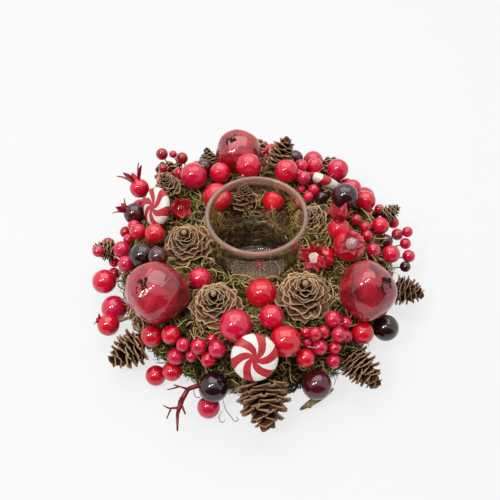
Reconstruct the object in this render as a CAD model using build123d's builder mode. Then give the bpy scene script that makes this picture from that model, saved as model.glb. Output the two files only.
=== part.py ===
"""Candle ring: a loose glass cup that stands inside a wreath of moss, berries, cones and fruit.

The wreath is a hoop of three bent rods, tied together and bedded in moss.  Every berry, cone,
fruit and candy stands on its own wire or wooden pick, which is pushed into the moss.

Frame: millimetres, +Z up, origin at the centre of the cup's foot, on the table.  The front of
the ring faces -Y.  A place on the wreath is given by two angles: the bearing round the ring
(0 is +X, 90 is +Y, the back) and the angle round the moss section (0 is straight out, 90 is the
top, 180 faces the cup), with the height that the piece stands off the moss.
"""

import os
from math import atan2, cos, degrees, hypot, pi, radians, sin, sqrt

from build123d import *

os.makedirs("parts", exist_ok=True)

# ---------------------------------------------------------------- driving dimensions
CUP_HEIGHT = 74.0
CUP_RIM_DIAMETER = 70.0
CUP_SHOULDER_DIAMETER = 53.0
CUP_FOOT_DIAMETER = 49.0
CUP_SHOULDER_HEIGHT = 4.0
CUP_WALL = 2.4
CUP_RIM_BEAD = 3.4
CUP_BASE_THICKNESS = 8.0
CUP_FLOOR_INSET = 3.0
CUP_FLOOR_ROUNDING = 2.0

RING_DIAMETER = 136.0
MOSS_SECTION_DIAMETER = 60.0
MOSS_CENTRE_HEIGHT = 12.0
MOSS_CLUMPS = 6
FIRST_CLUMP_BEARING = 12.0
CLUMP_GAP = 0.4

HOOP_ROD_DIAMETER = 8.0
HOOP_ROD_GAP = 0.3
HOOP_HEIGHT = 2.6
HOOP_ROD_OPENING = 5.0
TIE_THICKNESS = 0.8
TIE_WIDTH = 1.4
TIE_COUNT = 6
FIRST_TIE_BEARING = 15.0

WIRE_DIAMETER = 0.9
PICK_DIAMETER = 2.4
PICK_BURIED_END = 14.0
WIRE_CLEARANCE = 0.2
WIRE_GAP = 0.5
MOSS_CLEARANCE = 0.3
PIECE_GAP = 0.35
CUP_GAP = 1.2
TABLE_GAP = 0.4

CANDY_DIAMETER = 29.0
CANDY_THICKNESS = 8.0
CANDY_EDGE = 2.6
CANDY_RIM_ROOM = 0.9

TWIG_DIAMETER = 3.0
TWIG_LENGTH = 37.0
TWIG_BEARING = -56.0
TWIG_HEADING = -116.0
TWIG_HEIGHT = 5.0
TWIG_BURIED = 8.0

# ---------------------------------------------------------------- sizes that follow
ring_radius = RING_DIAMETER / 2
moss_radius = MOSS_SECTION_DIAMETER / 2
rod_radius = HOOP_ROD_DIAMETER / 2
wire_radius = WIRE_DIAMETER / 2
pick_radius = PICK_DIAMETER / 2
rim_radius = CUP_RIM_DIAMETER / 2
shoulder_radius = CUP_SHOULDER_DIAMETER / 2
foot_radius = CUP_FOOT_DIAMETER / 2


def export(builder, name):
    """Label a finished piece and write it as its own file."""
    builder.part.label = name
    export_step(builder.part, f"parts/{name}.step")


# ---------------------------------------------------------------- glass cup
bead_radius = CUP_RIM_BEAD / 2
bead_centre = (rim_radius - bead_radius, CUP_HEIGHT - bead_radius)
wall_top_outside = rim_radius - bead_radius + CUP_WALL / 2
wall_top_inside = wall_top_outside - CUP_WALL
floor_radius = shoulder_radius - CUP_WALL - CUP_FLOOR_INSET

with BuildPart() as glass_cup:
    with BuildSketch(Plane.XZ) as cup_profile:
        with BuildLine():
            Polyline(
                (0, 0),
                (foot_radius, 0),
                (shoulder_radius, CUP_SHOULDER_HEIGHT),
                (wall_top_outside, CUP_HEIGHT - bead_radius),
                (wall_top_inside, CUP_HEIGHT - bead_radius),
                (floor_radius + CUP_FLOOR_ROUNDING, CUP_BASE_THICKNESS + CUP_FLOOR_INSET),
                (floor_radius, CUP_BASE_THICKNESS),
                (0, CUP_BASE_THICKNESS),
                close=True,
            )
        make_face()
        with Locations(bead_centre):
            Circle(bead_radius)
    revolve(axis=Axis.Z)
export(glass_cup, "glass_cup")


def cup_radius_at(height):
    """Largest radius of the cup's outside up to this height."""
    share = min(max(height / CUP_HEIGHT, 0), 1)
    return shoulder_radius + (rim_radius - shoulder_radius) * share


# ---------------------------------------------------------------- hoop of three bent rods
rod_step = HOOP_ROD_DIAMETER + HOOP_ROD_GAP
rod_low = HOOP_HEIGHT + rod_radius
rod_places = {
    "hoop_rod_inner": (ring_radius - rod_step / 2, rod_low, 20),
    "hoop_rod_outer": (ring_radius + rod_step / 2, rod_low, 205),
    "hoop_rod_top": (ring_radius, rod_low + rod_step * sqrt(3) / 2, 100),
}
for rod_name, (rod_ring_radius, rod_height, start_bearing) in rod_places.items():
    with BuildPart() as hoop_rod:
        with BuildSketch(Plane.XZ.rotated((0, 0, start_bearing))):
            with Locations((rod_ring_radius, rod_height)):
                Circle(rod_radius)
        revolve(axis=Axis.Z, revolution_arc=360 - HOOP_ROD_OPENING)
    export(hoop_rod, rod_name)


def hoop_outline(spare):
    """Outline round the three rods, this much wider than they are, in the section plane."""
    for rod_ring_radius, rod_height, _ in rod_places.values():
        with Locations((rod_ring_radius, rod_height)):
            Circle(rod_radius + spare)
    make_hull()


tie_inside = MOSS_CLEARANCE
tie_outside = tie_inside + TIE_THICKNESS
with BuildPart() as hoop_ties:
    for tie in range(TIE_COUNT):
        tie_bearing = 360 / TIE_COUNT * tie + FIRST_TIE_BEARING
        tie_plane = Plane.XZ.rotated((0, 0, tie_bearing))
        with BuildSketch(tie_plane) as tie_round:
            hoop_outline(tie_outside)
        with BuildSketch(tie_plane) as tie_opening:
            hoop_outline(tie_inside)
        extrude(tie_round.sketch, amount=TIE_WIDTH / 2, both=True)
        extrude(tie_opening.sketch, amount=TIE_WIDTH, both=True, mode=Mode.SUBTRACT)
export(hoop_ties, "hoop_ties")


# ---------------------------------------------------------------- layout of the decorations
def direction(bearing, elevation):
    """Unit vector towards this bearing, this many degrees above level."""
    level = cos(radians(elevation))
    return Vector(level * cos(radians(bearing)), level * sin(radians(bearing)), sin(radians(elevation)))


def section_centre(bearing):
    """Centre of the moss section at this bearing."""
    return direction(bearing, 0) * ring_radius + Vector(0, 0, MOSS_CENTRE_HEIGHT)


class Piece:
    """A decoration: its place, the balls that enclose it, and the wire that holds it."""

    def __init__(self, kind, diameter, bearing, section, stand_off, axis=None, length=0.0):
        self.kind = kind
        self.diameter = diameter
        self.length = length
        self.seat = min(stand_off, MOSS_CLEARANCE)
        out = direction(bearing, 0) * cos(radians(section)) + Vector(0, 0, 1) * sin(radians(section))
        reach = moss_radius + diameter / 2 + max(stand_off, self.seat)
        self.centre = section_centre(bearing) + out * reach
        self.axis = out if axis is None else direction(*axis)
        self.balls = [(self.axis * along + side, radius) for along, side, radius in self.envelope()]
        self.holder_radius = wire_radius if kind == "berry" else pick_radius

    def envelope(self):
        """Balls that hold the whole solid: how far along the axis, how far aside, radius."""
        radius = self.diameter / 2
        none = Vector(0, 0, 0)
        if self.kind == "cone":
            middle = CONE_SEAT * self.length
            return [(share * self.length - middle, none, size * radius) for share, size in CONE_BALLS]
        if self.kind == "candy":
            face = Plane(origin=(0, 0, 0), z_dir=self.axis)
            ball = CANDY_THICKNESS / 2 + CANDY_RIM_ROOM
            balls = [(0, none, ball)]
            for count, share in ((6, 0.5), (16, 1.08)):
                for turn in range(count):
                    angle = 2 * pi * turn / count
                    aside = face.x_dir * cos(angle) + face.y_dir * sin(angle)
                    balls.append((0, aside * (radius - ball) * share, ball))
            return balls
        if self.kind == "crowned":
            crown = self.length - radius
            return [(0, none, radius), (radius + crown / 2, none, crown * 0.75)]
        if self.kind == "coral":
            neck = [(radius + step * 3.0, none, 2.4) for step in range(1, 4)]
            return [(0, none, radius), *neck, (self.length - 4.0, none, 5.5)]
        return [(0, none, radius)]

    def aim_wire(self):
        """Lay the wire or pick from inside the moss straight towards the piece's middle."""
        foot = section_centre(degrees(atan2(self.centre.Y, self.centre.X)))
        self.reach = (self.centre - foot).length
        self.out = (self.centre - foot) / self.reach
        self.wire_start = foot + self.out * PICK_BURIED_END
        self.wire_shown = self.reach - PICK_BURIED_END - self.diameter / 2

    def off_wire(self, point):
        """Shortest way to this point from the wire, as a vector."""
        along = min(max((point - self.wire_start).dot(self.out), 0.0), max(self.wire_shown, 0.0))
        return point - (self.wire_start + self.out * along)


# A cone is held by three balls: share of the length from its stalk end, share of its radius.
CONE_SEAT = 0.38
CONE_BALLS = ((0.30, 1.0), (0.60, 0.8), (0.85, 0.42))


def red(diameter, bearing, section, stand_off=0.3):
    return Piece("berry", diameter, bearing, section, stand_off)


def cone(diameter, length, bearing, section, stand_off, axis):
    return Piece("cone", diameter, bearing, section, stand_off, axis, length)


# Places are read by eye from the front view, and the back is filled in the same manner.
LARGE_BERRIES = {
    "front_right": [
        red(20.5, -86, 123),
        red(20, -78, 65),
        red(16, -82, 91),
        red(12, -71, 44),
        red(14.5, -45, 37),
    ],
    "front_left": [
        red(20.5, -100, 78, 4.5),
        red(15.5, -138, 116),
        red(14.5, -134, 35),
        red(12.5, -127, 49),
        red(14, -128, -6, 5),
        red(15, -106, -5, 8),
        red(13, -122, 9),
    ],
    "left": [
        red(19, -161, -3),
        red(17.5, -170, 12, 5),
        red(14.5, 178, 85),
        red(15, 150, 10),
    ],
    "back_left": [
        red(21, 127, 119),
        red(20, 130, 84, 1),
        red(16, 114, 92),
        red(19, 95, 99, 7),
        red(19, 99, -3, 1),
        red(15, 103, 27, 1),
        red(17, 116, 4, 2.5),
        red(15, 135, 30),
        red(18, 141, 2),
        red(12, 111, -9),
    ],
    "back_right": [
        red(17.5, 71, 130),
        red(17.5, 68, 99, 6.5),
        red(13, 59, 54),
        red(17, 49, 43, 3),
        red(13.5, 36, 56),
        red(12.5, 82, 46, 3.5),
        red(18, 36, 12),
        red(15, 47, -6),
        red(16, 63, 31, 2.5),
        red(17, 77, 23, 2),
        red(14, 74, -4),
    ],
    "right": [
        red(15, 26, 51),
        red(14, 28, -1),
        red(13, 11, 48),
        red(13, -3, 39),
    ],
}
SMALL_BERRIES = {
    "front_right": [
        red(11, -53, 67),
        red(8, -48, 56),
        red(9, -60, 61),
        red(10, -55, 53, 3.5),
        red(8.5, -65, 64, 6.5),
        red(10, -64, 49),
        red(8.5, -58, 41, 1),
        red(9.5, -60, 27),
        red(8, -51, 44, 1),
        red(7, -67, 68),
        red(6, -68, 57),
    ],
    "front_left": [
        red(9, -120, 48, 4),
        red(10.5, -114, 52, 1.5),
        red(11, -122, 30),
        red(8, -116, 39),
        red(11.5, -106, 56, 3.5),
        red(10, -109, 42),
        red(7, -110, 63),
    ],
    "left": [
        red(10.5, 172, 10, 10),
        red(8.5, -178, 29, 17),
        red(12.5, -179, 40, 1),
        red(9, 167, 23, 1),
        red(12, 175, 63, 1),
        red(8, 175, 43),
        red(8, 179, 6, 4),
        red(11.5, -170, 47),
        red(10, -176, 2, 2.5),
        red(9.5, 169, 51, 1.5),
    ],
    "back_left": [
        red(10, 97, 18),
        red(9, 94, 31),
        red(9, 122, 41, 1.5),
        red(8, 125, 28),
        red(10, 129, 39, 1.5),
        red(8, 120, 25),
    ],
    "back_right": [
        red(11, 64, 69),
        red(10, 62, 89),
        red(10, 55, 95, 6),
        red(6.5, 55, 101),
        red(9, 47, 97),
        red(8, 45, 110, 3.5),
        red(10, 43, 31, 1),
        red(9, 47, 20),
        red(8, 42, 16),
        red(8, 51, 27),
        red(10, 89, 38, 1),
        red(8, 84, 33),
    ],
    "right": [
        red(7.5, 22, 34, 6.5),
        red(9, 16, 22, 9),
        red(9, 10, 22, 8),
        red(8, 8, 27, 16),
        red(8.5, 5, 21, 11.5),
        red(9.5, 0, 17, 11),
        red(8, 9, 70),
        red(8, 3, 71),
        red(10, -6, 66),
        red(8, 14, 79),
    ],
}
SPRIG_BERRIES = [
    red(9.5, 132, 43, 21.5),
    red(6, 129, 50, 19.5),
    red(9.5, 125, 44, 11.5),
    red(7, 135, 43, 13),
]
DARK_BERRIES = {
    "left": [red(17, -168, 72), red(13.5, -161, 87, 7)],
    "front_right": [red(18, -34, 17), red(19.5, -69, 14)],
    "right": [red(10, 4, 41), red(8, -4, 16, 8.5), red(8.5, 39, 98), red(16, 22, 16), red(19.5, 27, 84, 3)],
    "back": [red(13.5, 120, 71, 0.5), red(14, 71, 38), red(16, 112, 25)],
}
CONE_NODES = {
    "cone_left_upright": [cone(32, 27, -177, 121, -8.5, (-115, 83))],
    "cone_front_left_upright": [cone(32, 27, -116, 99, -10.5, (-90, 90))],
    "cone_front_right_upright": [cone(33.5, 29, -58, 105, -9.5, (-90, 90))],
    "cone_right_inner": [cone(25, 28, 28, 127, -7.5, (-158, 58))],
    "cone_back_inner": [cone(19, 38, 103, 132, -1, (90, 72))],
    "cone_back_right": [cone(21, 30, 76, 74, 0.5, (50, 60))],
    "cone_back_left": [cone(19, 26, 145, 73, 1, (180, 78))],
    "cone_right_low": [cone(21, 26, -13, 8, 1, (-18, 6))],
    "cone_front_right_low": [cone(22, 33, -52, 12, 1, (-51, -6))],
    "cone_front_low": [cone(31, 33, -88, 15, 0, (-84, -7))],
    "cone_left_low": [cone(25, 29, -140, 5, 1, (-141, 0))],
    "cones_small": [
        cone(15, 19, 178, 21, 7, (174, 11)),
        cone(13, 20, 114, 52, 0, (106, 39)),
        cone(13, 16, 17, 37, 8.5, (21, 30)),
    ],
    "cones_back_low": [
        cone(27, 33, 58, 3, 0.5, (58, 2)),
        cone(25, 31, 88, 11, 0.5, (88, 2)),
        cone(28, 33, 128, 5, 0.5, (128, 2)),
    ],
}
POMEGRANATES = {
    "left": Piece("pomegranate", 40, -142, 71, -5.5, (-140, 63)),
    "right": Piece("pomegranate", 38, -33, 65, -5.5, (-33, 57)),
    "back": Piece("pomegranate", 35, 99, 64, -7.5, (-175, 70)),
}
CANDIES = {
    "front": Piece("candy", CANDY_DIAMETER, -91, 55, 5.5, (-90, 53)),
    "left": Piece("candy", CANDY_DIAMETER, 162, 80, -2.5, (-151, 32)),
    "right": Piece("candy", CANDY_DIAMETER, 47, 74, -11.5, (60, 30)),
}
CROWNED = {
    "right_large": Piece("crowned", 22, -10, 95, 0.3, (-90, 60), 16),
    "right_upright": Piece("crowned", 16, 5, 103, 0.3, (95, 60), 17),
    "right_small": Piece("crowned", 15, -19, 119, 0.3, (180, 10), 14),
    "left_small": Piece("crowned", 14, 155, 102, 0.3, (-80, 55), 12),
    "left_back": Piece("crowned", 15, 148, 35, 8.5, (119, 34), 17),
    "left_dark": Piece("crowned", 16, 162, 45, 0.3, (165, 15), 16),
    "left_low": Piece("crowned", 15.5, -153, 5, 9.5, (160, 20), 14),
    "front_dark": Piece("coral", 19.5, -105, 18, 0.3, (-130, -12), 28),
}

everything = [*SPRIG_BERRIES, *POMEGRANATES.values(), *CANDIES.values(), *CROWNED.values()]
for groups in (LARGE_BERRIES, SMALL_BERRIES, DARK_BERRIES, CONE_NODES):
    for group in groups.values():
        everything.extend(group)


# ---------------------------------------------------------------- nestling
# Neighbours that would touch are eased apart until each has its gap to the others, the moss,
# the cup and the table, so a change of any size keeps the pieces clear of one another.
MOST_ROUNDS = 250
NEAR = 5.0
EASE = 0.55
WIRE_STEPS = 5
CLOSE_ENOUGH = 0.05


def ease_off_surroundings(piece):
    """Lift a piece off the moss, the table and the cup."""
    moved = moss_radius + piece.diameter / 2 + piece.seat - piece.reach
    if moved > 0:
        piece.centre += piece.out * moved
    for offset, radius in piece.balls:
        at = piece.centre + offset
        low = radius + TABLE_GAP - at.Z
        if low > 0:
            piece.centre += Vector(0, 0, low)
            moved = max(moved, low)
        level = hypot(at.X, at.Y)
        close = cup_radius_at(at.Z) + radius + CUP_GAP - level
        if close > 0:
            piece.centre += Vector(at.X / level, at.Y / level, 0) * close
            moved = max(moved, close)
    return moved


def part_pair(first, second, between, room):
    """Move two pieces apart along this vector until it is as long as the room they need."""
    close = room - between.length
    if close <= 0:
        return 0.0
    share = second.diameter**2 / (first.diameter**2 + second.diameter**2)
    push = between.normalized() * (close * EASE)
    first.centre += push * share
    second.centre -= push * (1 - share)
    return close


def ease_apart(first, second):
    """Part two neighbours: ball from ball, ball from wire and wire from wire."""
    moved = 0.0
    for offset_a, radius_a in first.balls:
        for offset_b, radius_b in second.balls:
            between = (first.centre + offset_a) - (second.centre + offset_b)
            moved = max(moved, part_pair(first, second, between, radius_a + radius_b + PIECE_GAP))
    for piece, other in ((first, second), (second, first)):
        room = other.holder_radius + WIRE_GAP
        for offset, radius in piece.balls:
            between = other.off_wire(piece.centre + offset)
            moved = max(moved, part_pair(piece, other, between, radius + room))
        for step in range(WIRE_STEPS):
            at = piece.wire_start + piece.out * (piece.wire_shown * step / (WIRE_STEPS - 1))
            between = other.off_wire(at)
            moved = max(moved, part_pair(piece, other, between, piece.holder_radius + room))
    return moved


def extent(piece):
    """Distance from the piece's centre to the far side of its farthest ball."""
    return max(offset.length + radius for offset, radius in piece.balls)


neighbours = []
for index, first in enumerate(everything):
    for second in everything[index + 1 :]:
        apart = (first.centre - second.centre).length
        if apart < extent(first) + extent(second) + NEAR:
            neighbours.append((first, second))

for rounds in range(MOST_ROUNDS):
    for piece in everything:
        piece.aim_wire()
    largest = max(ease_off_surroundings(piece) for piece in everything)
    largest = max(largest, max(ease_apart(first, second) for first, second in neighbours))
    if largest < CLOSE_ENOUGH:
        break
for piece in everything:
    piece.aim_wire()
print(f"nestled in {rounds + 1} rounds, the closest is {largest:.3f} mm short of its gap")


# ---------------------------------------------------------------- wires and picks
# How far a wire or pick goes in past the piece's middle, as a share of its radius.
HOLDER_PAST_MIDDLE = {
    "berry": -0.05,
    "pomegranate": -0.4,
    "crowned": -0.2,
    "coral": -0.2,
    "cone": 0.0,
    "candy": 0.0,
}


def holder_rod(piece, clearance):
    """Wire or pick of this piece as a rod, or the room for it when it has a clearance."""
    past_middle = HOLDER_PAST_MIDDLE[piece.kind] * piece.diameter / 2
    with Locations(Plane(origin=piece.wire_start - piece.out * clearance, z_dir=piece.out)):
        return Cylinder(
            piece.holder_radius + clearance,
            piece.reach - PICK_BURIED_END + past_middle + 2 * clearance,
            align=(Align.CENTER, Align.CENTER, Align.MIN),
            mode=Mode.PRIVATE,
        )


def bore_for_holder(piece):
    """Blind hole of a piece for its wire or pick, a clearance longer than the wire in it."""
    add(holder_rod(piece, WIRE_CLEARANCE), mode=Mode.SUBTRACT)


berries = [piece for piece in everything if piece.kind == "berry" and piece not in SPRIG_BERRIES]
picked = [piece for piece in everything if piece.kind != "berry"]
HOLDER_NODES = {"berry_wires": berries, "sprig_stems": SPRIG_BERRIES, "wooden_picks": picked}
for holder_name, holders in HOLDER_NODES.items():
    with BuildPart() as holder_set:
        add([holder_rod(piece, 0.0) for piece in holders])
    export(holder_set, holder_name)


# ---------------------------------------------------------------- cut twig at the front
twig_reach = ring_radius + moss_radius - TWIG_BURIED
twig_start = direction(TWIG_BEARING, 0) * twig_reach + Vector(0, 0, TWIG_HEIGHT)
twig_plane = Plane(origin=twig_start, z_dir=direction(TWIG_HEADING, 0))
twig_radius = TWIG_DIAMETER / 2
with BuildPart() as cut_twig:
    with BuildSketch(twig_plane):
        RegularPolygon(twig_radius, 8)
    extrude(amount=TWIG_LENGTH)
    chamfer(cut_twig.faces().sort_by(Axis(twig_plane.origin, twig_plane.z_dir))[-1].edges(), 0.4)
export(cut_twig, "cut_twig")

# ---------------------------------------------------------------- moss, laid on in clumps
def moss_room(piece):
    """All that a piece takes out of the moss: the hole for its wire and any pocket it sits in."""
    room = [holder_rod(piece, WIRE_CLEARANCE)]
    if piece.kind == "candy":
        with Locations(Plane(origin=piece.centre, z_dir=piece.axis)):
            room.append(
                Cylinder(
                    CANDY_DIAMETER / 2 + MOSS_CLEARANCE,
                    CANDY_THICKNESS + 2 * MOSS_CLEARANCE,
                    mode=Mode.PRIVATE,
                )
            )
        return room
    for offset, radius in piece.balls:
        at = piece.centre + offset
        off_middle = hypot(hypot(at.X, at.Y) - ring_radius, at.Z - MOSS_CENTRE_HEIGHT)
        if piece.kind != "berry" and off_middle < moss_radius + radius + MOSS_CLEARANCE:
            with Locations(at):
                room.append(Sphere(radius + MOSS_CLEARANCE, mode=Mode.PRIVATE))
    return room


clump_turn = 360 / MOSS_CLUMPS
clump_gap_turn = degrees(CLUMP_GAP / (ring_radius - moss_radius))
for clump in range(MOSS_CLUMPS):
    clump_start = FIRST_CLUMP_BEARING + clump * clump_turn
    clump_middle = direction(clump_start + clump_turn / 2, 0)
    with BuildPart() as moss_clump:
        with BuildSketch(Plane.XZ.rotated((0, 0, clump_start))):
            with Locations((ring_radius, MOSS_CENTRE_HEIGHT)):
                Circle(moss_radius)
            below = (Align.CENTER, Align.MAX)
            with Locations((ring_radius, 0)):
                Rectangle(3 * moss_radius, 2 * moss_radius, align=below, mode=Mode.SUBTRACT)
            with BuildSketch(mode=Mode.PRIVATE) as channel:
                hoop_outline(tie_outside + MOSS_CLEARANCE)
            add(channel.sketch, mode=Mode.SUBTRACT)
        revolve(axis=Axis.Z, revolution_arc=clump_turn - clump_gap_turn)
        taken = []
        for piece in everything:
            if clump_middle.get_angle(Vector(piece.centre.X, piece.centre.Y, 0)) < 0.9 * clump_turn:
                taken.extend(moss_room(piece))
        with Locations(twig_plane.offset(-MOSS_CLEARANCE)):
            taken.append(
                Cylinder(
                    twig_radius + MOSS_CLEARANCE,
                    TWIG_LENGTH,
                    align=(Align.CENTER, Align.CENTER, Align.MIN),
                    mode=Mode.PRIVATE,
                )
            )
        add(taken, mode=Mode.SUBTRACT)
    export(moss_clump, f"moss_clump_{clump + 1}")


# ---------------------------------------------------------------- berries
DIMPLE = 0.16


def berry_solid(piece):
    """A round berry: a shallow dimple at the far end and a blind hole for its wire or pick."""
    radius = piece.diameter / 2
    bore = piece.holder_radius + WIRE_CLEARANCE
    bore_end = HOLDER_PAST_MIDDLE[piece.kind] * radius + WIRE_CLEARANCE
    dimple = DIMPLE * radius
    dimple_centre = radius + dimple / 2
    dimple_rim = (dimple_centre**2 + radius**2 - dimple**2) / (2 * dimple_centre)
    across = Plane(origin=piece.centre, z_dir=piece.out).x_dir
    with BuildPart() as berry:
        with BuildSketch(Plane(origin=piece.centre, x_dir=across, z_dir=across.cross(piece.out))):
            with BuildLine():
                Line((0, bore_end), (bore, bore_end))
                Line((bore, bore_end), (bore, -sqrt(radius**2 - bore**2)))
                ThreePointArc(
                    (bore, -sqrt(radius**2 - bore**2)),
                    (radius, 0),
                    (sqrt(radius**2 - dimple_rim**2), dimple_rim),
                )
                ThreePointArc(
                    (sqrt(radius**2 - dimple_rim**2), dimple_rim),
                    (dimple * sin(pi / 6), dimple_centre - dimple * cos(pi / 6)),
                    (0, dimple_centre - dimple),
                )
                Line((0, dimple_centre - dimple), (0, bore_end))
            make_face()
        revolve(axis=Axis(piece.centre, piece.out))
    return berry.part


def berry_node(name, group):
    solids = [berry_solid(piece) for piece in group]
    with BuildPart() as berry_group:
        add(solids)
    export(berry_group, name)


for sector, group in LARGE_BERRIES.items():
    berry_node(f"large_berries_{sector}", group)
for sector, group in SMALL_BERRIES.items():
    berry_node(f"small_berries_{sector}", group)
for sector, group in DARK_BERRIES.items():
    berry_node(f"dark_berries_{sector}", group)
berry_node("sprig_berries", SPRIG_BERRIES)


# ---------------------------------------------------------------- pine cones
# Tiers of scales from the stalk end to the tip: share of the length, share of the radius.
CONE_TIERS = (
    (0.14, 0.66),
    (0.28, 0.92),
    (0.42, 0.94),
    (0.56, 0.80),
    (0.70, 0.68),
    (0.83, 0.48),
    (0.95, 0.26),
)
SCALES_IN_TIER = 8
TIP_SHARE = 0.28
NOTCH_SHARE = 0.74
TIER_RISE = 0.16
TIER_FOOT = 0.42


def scale_ring(radius):
    """Outline of one tier of scales: a blunt tip for each scale and a notch between two."""
    half_tip = TIP_SHARE * 360 / SCALES_IN_TIER
    corners = []
    for scale in range(SCALES_IN_TIER):
        middle = 360 / SCALES_IN_TIER * scale
        notch = middle + 180 / SCALES_IN_TIER
        for angle, share in ((middle - half_tip, 1.0), (middle + half_tip, 1.0), (notch, NOTCH_SHARE)):
            corners.append((radius * share * cos(radians(angle)), radius * share * sin(radians(angle))))
    Polygon(*corners, align=None)


def cone_tier(piece, tier):
    """One tier of scales: it widens from the cone's core to the tips of its scales."""
    base = Plane(origin=piece.centre - piece.axis * (CONE_SEAT * piece.length), z_dir=piece.axis)
    share, width = CONE_TIERS[tier]
    turn = 180 / SCALES_IN_TIER * (tier % 2)
    low = max(share - TIER_RISE, 0.04) * piece.length
    with BuildSketch(base.offset(low).rotated((0, 0, turn)), mode=Mode.PRIVATE) as foot_ring:
        scale_ring(piece.diameter / 2 * width * TIER_FOOT)
    with BuildSketch(base.offset(share * piece.length).rotated((0, 0, turn)), mode=Mode.PRIVATE) as tip_ring:
        scale_ring(piece.diameter / 2 * width)
    return loft([foot_ring.sketch, tip_ring.sketch], ruled=True, mode=Mode.PRIVATE)


def cone_solid(piece):
    """A pine cone: its tiers of scales as one body, with a blind hole for its pick."""
    with BuildPart() as pine_cone:
        add([cone_tier(piece, tier) for tier in range(len(CONE_TIERS))])
        bore_for_holder(piece)
    return pine_cone.part


for node_name, group in CONE_NODES.items():
    solids = [cone_solid(piece) for piece in group]
    with BuildPart() as cone_group:
        add(solids)
    export(cone_group, node_name)

# ---------------------------------------------------------------- pomegranates
CALYX_DIAMETER = 9.0
CALYX_HEIGHT = 2.4
CALYX_POINTS = 6
CALYX_SEAT_DEPTH = 1.2
FRUIT_FLATTENING = 0.95

calyx_radius = CALYX_DIAMETER / 2
for fruit_name, piece in POMEGRANATES.items():
    radius = piece.diameter / 2
    with BuildPart() as pomegranate:
        with Locations(piece.centre):
            Sphere(radius)
        flat = piece.centre + piece.axis * radius * FRUIT_FLATTENING
        with Locations(Plane(origin=flat, z_dir=piece.axis)):
            Cylinder(radius, radius, align=(Align.CENTER, Align.CENTER, Align.MIN), mode=Mode.SUBTRACT)
            Cylinder(calyx_radius + WIRE_CLEARANCE, 2 * CALYX_SEAT_DEPTH, mode=Mode.SUBTRACT)
        bore_for_holder(piece)
    export(pomegranate, f"pomegranate_{fruit_name}")

with BuildPart() as calyxes:
    for piece in POMEGRANATES.values():
        seat = piece.diameter / 2 * FRUIT_FLATTENING - CALYX_SEAT_DEPTH
        with BuildSketch(Plane(origin=piece.centre + piece.axis * seat, z_dir=piece.axis)):
            Circle(calyx_radius * 0.7)
            with PolarLocations(calyx_radius * 0.62, CALYX_POINTS):
                RegularPolygon(calyx_radius * 0.38, 4)
            Circle(calyx_radius * 0.3, mode=Mode.SUBTRACT)
        extrude(amount=CALYX_HEIGHT)
export(calyxes, "pomegranate_calyxes")

# ---------------------------------------------------------------- candies
for candy_name, piece in CANDIES.items():
    half = CANDY_THICKNESS / 2
    with BuildPart() as candy:
        with Locations(Plane(origin=piece.centre, z_dir=piece.axis)):
            Cylinder(CANDY_DIAMETER / 2, CANDY_THICKNESS)
        fillet(candy.edges(), CANDY_EDGE)
        bore_for_holder(piece)
    export(candy, f"candy_{candy_name}")

# ---------------------------------------------------------------- crowned berries
CROWN_POINTS = 5
CROWN_NOTCH = 0.45
CROWN_FOOT = 0.8
CROWN_NECK = 0.3


def crown_star(radius, inner_share):
    """Star outline of a crown: its points and the notches between them."""
    corners = []
    for corner in range(2 * CROWN_POINTS):
        share = 1.0 if corner % 2 == 0 else inner_share
        angle = pi * corner / CROWN_POINTS
        corners.append((radius * share * cos(angle), radius * share * sin(angle)))
    Polygon(*corners, align=None)


for crowned_name, piece in CROWNED.items():
    radius = piece.diameter / 2
    long_neck = piece.kind == "coral"
    crown = 10.0 if long_neck else piece.length - radius
    tip_radius = crown * (0.5 if long_neck else 0.62)
    neck_radius = 1.8 if long_neck else 0.42 * tip_radius
    root = Plane(origin=piece.centre, z_dir=piece.axis)
    with BuildPart() as crowned_berry:
        add(berry_solid(piece))
        with BuildSketch(root.offset(radius * CROWN_FOOT)):
            crown_star(neck_radius, 0.8)
        extrude(amount=piece.length - radius * CROWN_FOOT - crown * (1 - CROWN_NECK))
        with BuildSketch(root.offset(piece.length - crown * 0.8)):
            crown_star(neck_radius, 0.8)
        with BuildSketch(root.offset(piece.length)):
            crown_star(tip_radius, CROWN_NOTCH)
        loft(ruled=True)
        with BuildSketch(root.offset(piece.length - crown * 0.45)):
            crown_star(neck_radius * 0.35, 0.8)
        with BuildSketch(root.offset(piece.length + 0.01 * crown)):
            crown_star(tip_radius * 0.6, CROWN_NOTCH)
        loft(ruled=True, mode=Mode.SUBTRACT)
    export(crowned_berry, f"crowned_berry_{crowned_name}")
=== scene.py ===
"""Candle ring: the looks of the moss wreath and of its loose glass cup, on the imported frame."""

from math import atan2, cos, hypot, pi, radians, sin, sqrt

import bpy
import numpy as np
from mathutils import Matrix, Vector, noise


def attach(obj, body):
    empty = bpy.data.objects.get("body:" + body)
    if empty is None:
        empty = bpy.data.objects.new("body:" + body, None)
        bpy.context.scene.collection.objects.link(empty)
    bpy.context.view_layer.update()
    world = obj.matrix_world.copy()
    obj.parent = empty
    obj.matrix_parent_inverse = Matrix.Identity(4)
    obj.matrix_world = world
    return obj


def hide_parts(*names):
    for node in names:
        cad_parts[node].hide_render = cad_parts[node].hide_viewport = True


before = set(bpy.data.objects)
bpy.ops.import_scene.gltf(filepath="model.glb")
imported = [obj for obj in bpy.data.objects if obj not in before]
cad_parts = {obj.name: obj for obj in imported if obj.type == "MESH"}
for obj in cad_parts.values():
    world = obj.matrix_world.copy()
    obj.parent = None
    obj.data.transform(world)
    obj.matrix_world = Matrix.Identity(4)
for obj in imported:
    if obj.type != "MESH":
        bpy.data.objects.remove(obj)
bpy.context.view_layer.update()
mm = 0.001


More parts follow.
